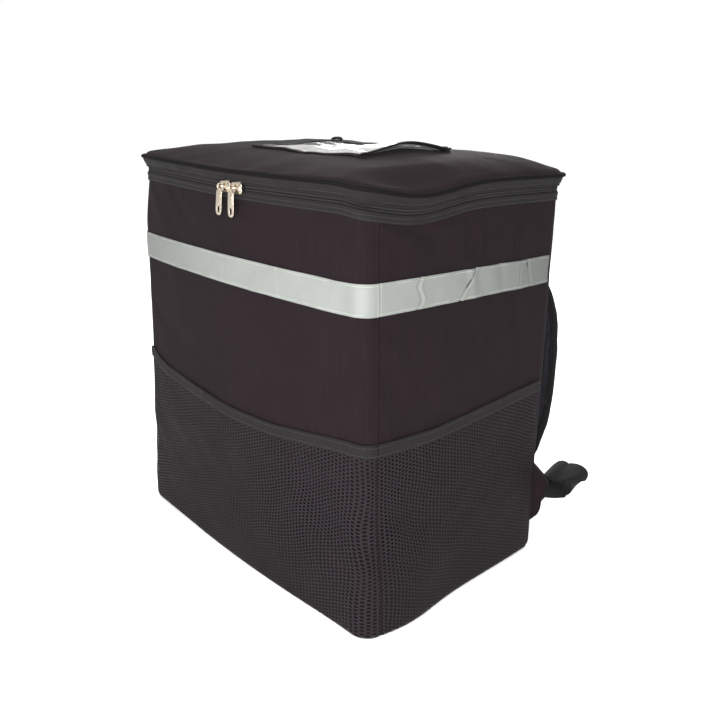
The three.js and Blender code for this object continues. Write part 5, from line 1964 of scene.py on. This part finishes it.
class PACK_OT_webbing(bpy.types.Operator):
    """Makes the adjusters, the webbing that runs from them in a loose loop, and the wings that hold it"""

    bl_idname = "pack.webbing"
    bl_label = "Webbing, adjusters and wings"

    def execute(self, context):
        points = strap_points()
        way_down = points[-1] - points[-2]
        way_down /= np.linalg.norm(way_down)
        side = np.array([1.0, 0, 0]) - way_down * way_down[0]
        side /= np.linalg.norm(side)
        self.side, self.down, self.face = side, way_down, np.cross(side, way_down)
        self.lock_middle = points[-1] + way_down * (LOCK_LENGTH / 2 + GAP)
        self.adjuster()
        self.tab(points[-1])
        self.wing()
        self.loop()
        return {"FINISHED"}

    def at_lock(self, across, down, out):
        return self.lock_middle + self.side * across + self.down * down + self.face * out

    def adjuster(self):
        slot_tall = (LOCK_LENGTH - 3 * LOCK_BAR) / 2
        middle = (slot_tall + LOCK_BAR) / 2
        wide = LOCK_WIDTH - 2 * LOCK_BAR
        outlines = [rounded_outline(LOCK_WIDTH, LOCK_LENGTH, 4 * MM, 6)]
        for sign in (-1, 1):
            outlines.append(rounded_outline(wide, slot_tall, 1.2 * MM, 4, (0, sign * middle))[::-1])
        body = plate("body", outlines, LOCK_THICK * 0.8, 1.2 * MM)
        parts = [body]
        for row in np.linspace(-1.5, 1.5, 4) * MM:
            path = [(x * MM, row, LOCK_THICK * 0.4) for x in np.linspace(-17, 17, 9)]
            parts.append(rod("grip", path, (0, 1, 0), 0.5 * MM, 0.7 * MM, 0.2 * MM))
        for sign in (-1, 1):
            row = sign * (LOCK_LENGTH / 2 - 1.4 * MM)
            lip = [(x * MM, row, LOCK_THICK * 0.36) for x in np.linspace(-18, 18, 9)]
            parts.append(rod("lip", lip, (0, 1, 0), 1.6 * MM, 1.4 * MM, 0.6 * MM))
        obj = joined("adjuster", parts, finish_named("hard_plastic"))
        turn = Matrix((self.side, self.down, self.face)).transposed().to_4x4()
        obj.data.transform(Matrix.Translation(self.lock_middle) @ turn)
        on_both_sides(obj, "bag", "hard_plastic", "adjuster_plate_right", "adjuster_plate_left", "adjuster")

    def tab(self, strap_end):
        """A short piece of webbing, sewn into the strap's end, that holds the adjuster's top bar."""
        bar = -(LOCK_LENGTH - LOCK_BAR) / 2
        out = LOCK_THICK * 0.4 + WEBBING_THICK * 0.55
        half = [(bar - 14 * MM, 1.6 * MM), (bar - 7 * MM, 2.2 * MM), (bar - 2.5 * MM, out),
                (bar + 1.2 * MM, out), (bar + 3.4 * MM, 0.4 * out)]
        path = curve_through([self.at_lock(0, *spot) for spot in with_mirror(half, (1, -1))], 4)
        across = one_way(self.side, path)
        section = round_box(WEBBING_WIDTH - 1.5 * MM, WEBBING_THICK * 0.8, 0.7 * MM)
        obj = band_along("strap_tab", path, across, section, finish_named("webbing"))
        on_both_sides(obj, "bag", "webbing", "strap_tab_right", "strap_tab_left")

    def loop(self):
        start = self.lock_middle + self.down * (LOCK_LENGTH / 2 + GAP)
        out = LOCK_THICK * 0.4 + WEBBING_THICK * 0.6
        low = (LOCK_LENGTH - LOCK_BAR) / 2
        wrap = [(low + 9 * MM, out + 1.6 * MM), (low + 3 * MM, out + 0.6 * MM), (low, out + 0.2 * MM),
                (low - 4.5 * MM, out), (1.6 * MM, out), (-2.2 * MM, out), (-3.7 * MM, 0.45 * out),
                (-3.7 * MM, -0.45 * out), (-2.2 * MM, -out), (1.6 * MM, -out), (low, -out),
                (low + 5 * MM, -out * 0.7)]
        points = [self.at_lock(0, *spot) for spot in wrap] + [start + self.down * LOCK_BAR * 1.6]
        sides = [self.side] * len(points)
        corner, way_out = self.wing_place()
        edge = corner + way_out * WING_REACH + np.array([0, 0, WING_FOOT + WING_TALL * 0.58])
        for near, loop, width_way in WEBBING_ROWS:
            points.append(mix(start, edge, near) + np.array(loop) * LOOP)
            sides.append(np.array(width_way) / np.linalg.norm(width_way))
        points.append(edge - way_out * 3 * MM)
        sides.append(sides[-1])
        rows = curve_through(np.hstack([points, sides]), 6)
        path, across = rows[:, :3], rows[:, 3:]
        length = path_lengths(path)
        section = round_box(WEBBING_WIDTH, WEBBING_THICK, 0.85 * MM, 3)
        sections = np.repeat(section[None], len(path), axis=0)
        cup = 0.7 * MM * np.sin(length / (31 * MM))
        for i, amount in enumerate(cup):
            sections[i, :, 1] += amount * (1 - (section[:, 0] / (WEBBING_WIDTH / 2)) ** 2)
        obj = band_along("webbing", path, across, sections, finish_named("webbing"))
        on_both_sides(obj, "bag", "webbing", "webbing_loop_right", "webbing_loop_left", "webbing")

    @staticmethod
    def wing_place():
        """Where the wing meets the box's corner, and the way that it points."""
        half_x, half_y = half_sizes(WING_FOOT + WING_TALL / 2)
        way_out = np.array([math.sqrt(0.5), math.sqrt(0.5), 0])
        corner = np.array([half_x - CORNER, half_y - CORNER, 0]) + way_out * (CORNER + 1.4 * GAP)
        return corner - np.array([0, DEPTH_SHIFT, 0]), way_out

    def wing(self):
        corner, way_out = self.wing_place()
        flat = [(reach * WING_REACH + WING_LEAN * (0.5 - up), WING_FOOT + up * WING_TALL)
                for reach, up in WING_OUTLINE]
        flat = [(x - 1.5 * MM if x < 1 * MM else x, y) for x, y in flat]
        outline = soft_outline(flat, 4 * MM)
        obj = plate("wing", [outline], WING_THICK, WING_ROUND, finish_named("body_cloth"))
        lay_flat(obj.data, vertex_places(obj.data)[:, :2])
        upright = Matrix.Rotation(math.pi / 2, 4, "X")
        turn = Matrix.Translation(corner) @ Matrix.Rotation(math.pi / 4, 4, "Z") @ upright
        obj.data.transform(turn)
        for one in on_both_sides(obj, "bag", "body_cloth", "wing_cloth_right", "wing_cloth_left", "wing"):
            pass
        middle = np.mean(outline, axis=0)
        inset = outline + (middle - outline) / np.linalg.norm(middle - outline, axis=1)[:, None] * 2.6 * MM
        rows = []
        for face in (-1, 1):
            line = [turn @ Vector((x, y, face * (WING_THICK / 2 + 0.1 * MM))) for x, y in inset]
            rows.append(np.array([tuple(v) for v in line + line[:1]]))
        sewing = stitched("wing_stitches", rows, *WING_SEWING)
        settle(mirrored(sewing, "wing_stitches_left"), "bag", "trim_cloth")


# The camera, fitted to the photo's outline: its place from the box's middle, its angles and its lens
CAMERA_PLACE = (679.1 * MM, -602.0 * MM - DEPTH_SHIFT, 505.9 * MM)
CAMERA_TURN, CAMERA_PITCH, CAMERA_ROLL = 0.818, 0.3069, 0.0283
CAMERA_LENS = 38.6
CAMERA_SHIFT = 0.0015
# Each light's place in metres, and its width
LIGHTS = {"key": ((0.78, -1.02, 0.55), 0.8), "top": ((0, 0, 1.9), 1.4), "back": ((-1.2, 1.6, 0.9), 1.0)}
LIT_HEIGHT = 0.25


class PACK_OT_camera_and_stage(bpy.types.Operator):
    """Sets the camera of the photo, the pale floor and the soft lights"""

    bl_idname = "pack.stage"
    bl_label = "Camera, floor and lights"

    def execute(self, context):
        self.camera(context.scene)
        self.floor()
        self.lights(context.scene)
        return {"FINISHED"}

    @staticmethod
    def camera(scene):
        data = bpy.data.cameras.new("Photo camera")
        data.sensor_width = 36
        data.lens = CAMERA_LENS
        data.shift_x = CAMERA_SHIFT
        data.clip_start = 0.05
        obj = put_in_scene("Photo camera", data)
        turn, pitch, roll = CAMERA_TURN, CAMERA_PITCH, CAMERA_ROLL
        level = math.cos(pitch)
        ahead = Vector((-math.sin(turn) * level, math.cos(turn) * level, -math.sin(pitch)))
        right = Vector((math.cos(turn), math.sin(turn), 0))
        up = right.cross(ahead)
        side = right * math.cos(roll) + up * math.sin(roll)
        top = up * math.cos(roll) - right * math.sin(roll)
        facing = Matrix((side, top, -ahead)).transposed().to_4x4()
        obj.matrix_world = Matrix.Translation(CAMERA_PLACE) @ facing
        scene.camera = obj

    @staticmethod
    def floor():
        sides = 96
        steps = np.linspace(0, TURN, sides + 1)[:-1]
        radii = [0.5, 1, 2, 4, 9, 20]
        verts = [(0, 0, 0)] + [(r * math.cos(a), r * math.sin(a), 0) for r in radii for a in steps]
        after = [(j + 1) % sides for j in range(sides)]
        faces = [(0, 1 + j, 1 + k) for j, k in enumerate(after)]
        for i in range(len(radii) - 1):
            low, high = 1 + i * sides, 1 + (i + 1) * sides
            faces += [(low + j, high + j, high + k, low + k) for j, k in enumerate(after)]
        obj = make_object("floor", verts, faces, material=finish_named("floor"))

    @staticmethod
    def lights(scene):
        settings = stage_settings()
        world = bpy.data.worlds.new("Studio")
        world.use_nodes = True
        world.node_tree.nodes["Background"].inputs["Color"].default_value = (1, 1, 1, 1)
        world.node_tree.nodes["Background"].inputs["Strength"].default_value = settings.sky
        scene.world = world
        scene.view_settings.view_transform = "Standard"
        for name, (where, size) in LIGHTS.items():
            data = bpy.data.lights.new(name.title(), "AREA")
            data.shape = "DISK"
            data.size = size
            data.energy = getattr(settings, name)
            obj = put_in_scene(name.title(), data)
            obj.location = where
            target = Vector((0, 0, LIT_HEIGHT)) - Vector(where)
            obj.rotation_euler = target.to_track_quat("-Z", "Y").to_euler()


OPERATORS = [
    PACK_OT_camera_and_stage,
    PACK_OT_box,
    PACK_OT_lid,
    PACK_OT_lid_edge,
    PACK_OT_zipper,
    PACK_OT_reflective_tape,
    PACK_OT_pockets,
    PACK_OT_window,
    PACK_OT_sliders,
    PACK_OT_straps,
    PACK_OT_webbing,
]


class PACK_PT_panel(bpy.types.Panel):
    """Backpack pieces, in the order in which they are made"""

    bl_idname = "PACK_PT_panel"
    bl_label = "Insulated backpack"
    bl_space_type = "VIEW_3D"
    bl_region_type = "UI"
    bl_category = "Backpack"

    def draw(self, context):
        for operator in OPERATORS:
            self.layout.operator(operator.bl_idname)
        for group in (context.scene.pack_colours, context.scene.pack_detail, context.scene.pack_stage):
            for name in group.__annotations__:
                self.layout.prop(group, name)


GROUPS = {"pack_colours": ClothColours, "pack_detail": ClothDetail, "pack_stage": StageSettings}


def register():
    for name, group in GROUPS.items():
        bpy.utils.register_class(group)
        setattr(bpy.types.Scene, name, PointerProperty(type=group))
    for operator in OPERATORS:
        bpy.utils.register_class(operator)
    bpy.utils.register_class(PACK_PT_panel)


def unregister():
    bpy.utils.unregister_class(PACK_PT_panel)
    for operator in reversed(OPERATORS):
        bpy.utils.unregister_class(operator)
    for name, group in reversed(GROUPS.items()):
        delattr(bpy.types.Scene, name)
        bpy.utils.unregister_class(group)


def run_operator(idname):
    area, name = idname.split(".")
    getattr(getattr(bpy.ops, area), name)()


def main():
    register()
    for operator in OPERATORS:
        run_operator(operator.bl_idname)


if __name__ == "__main__":
    main()
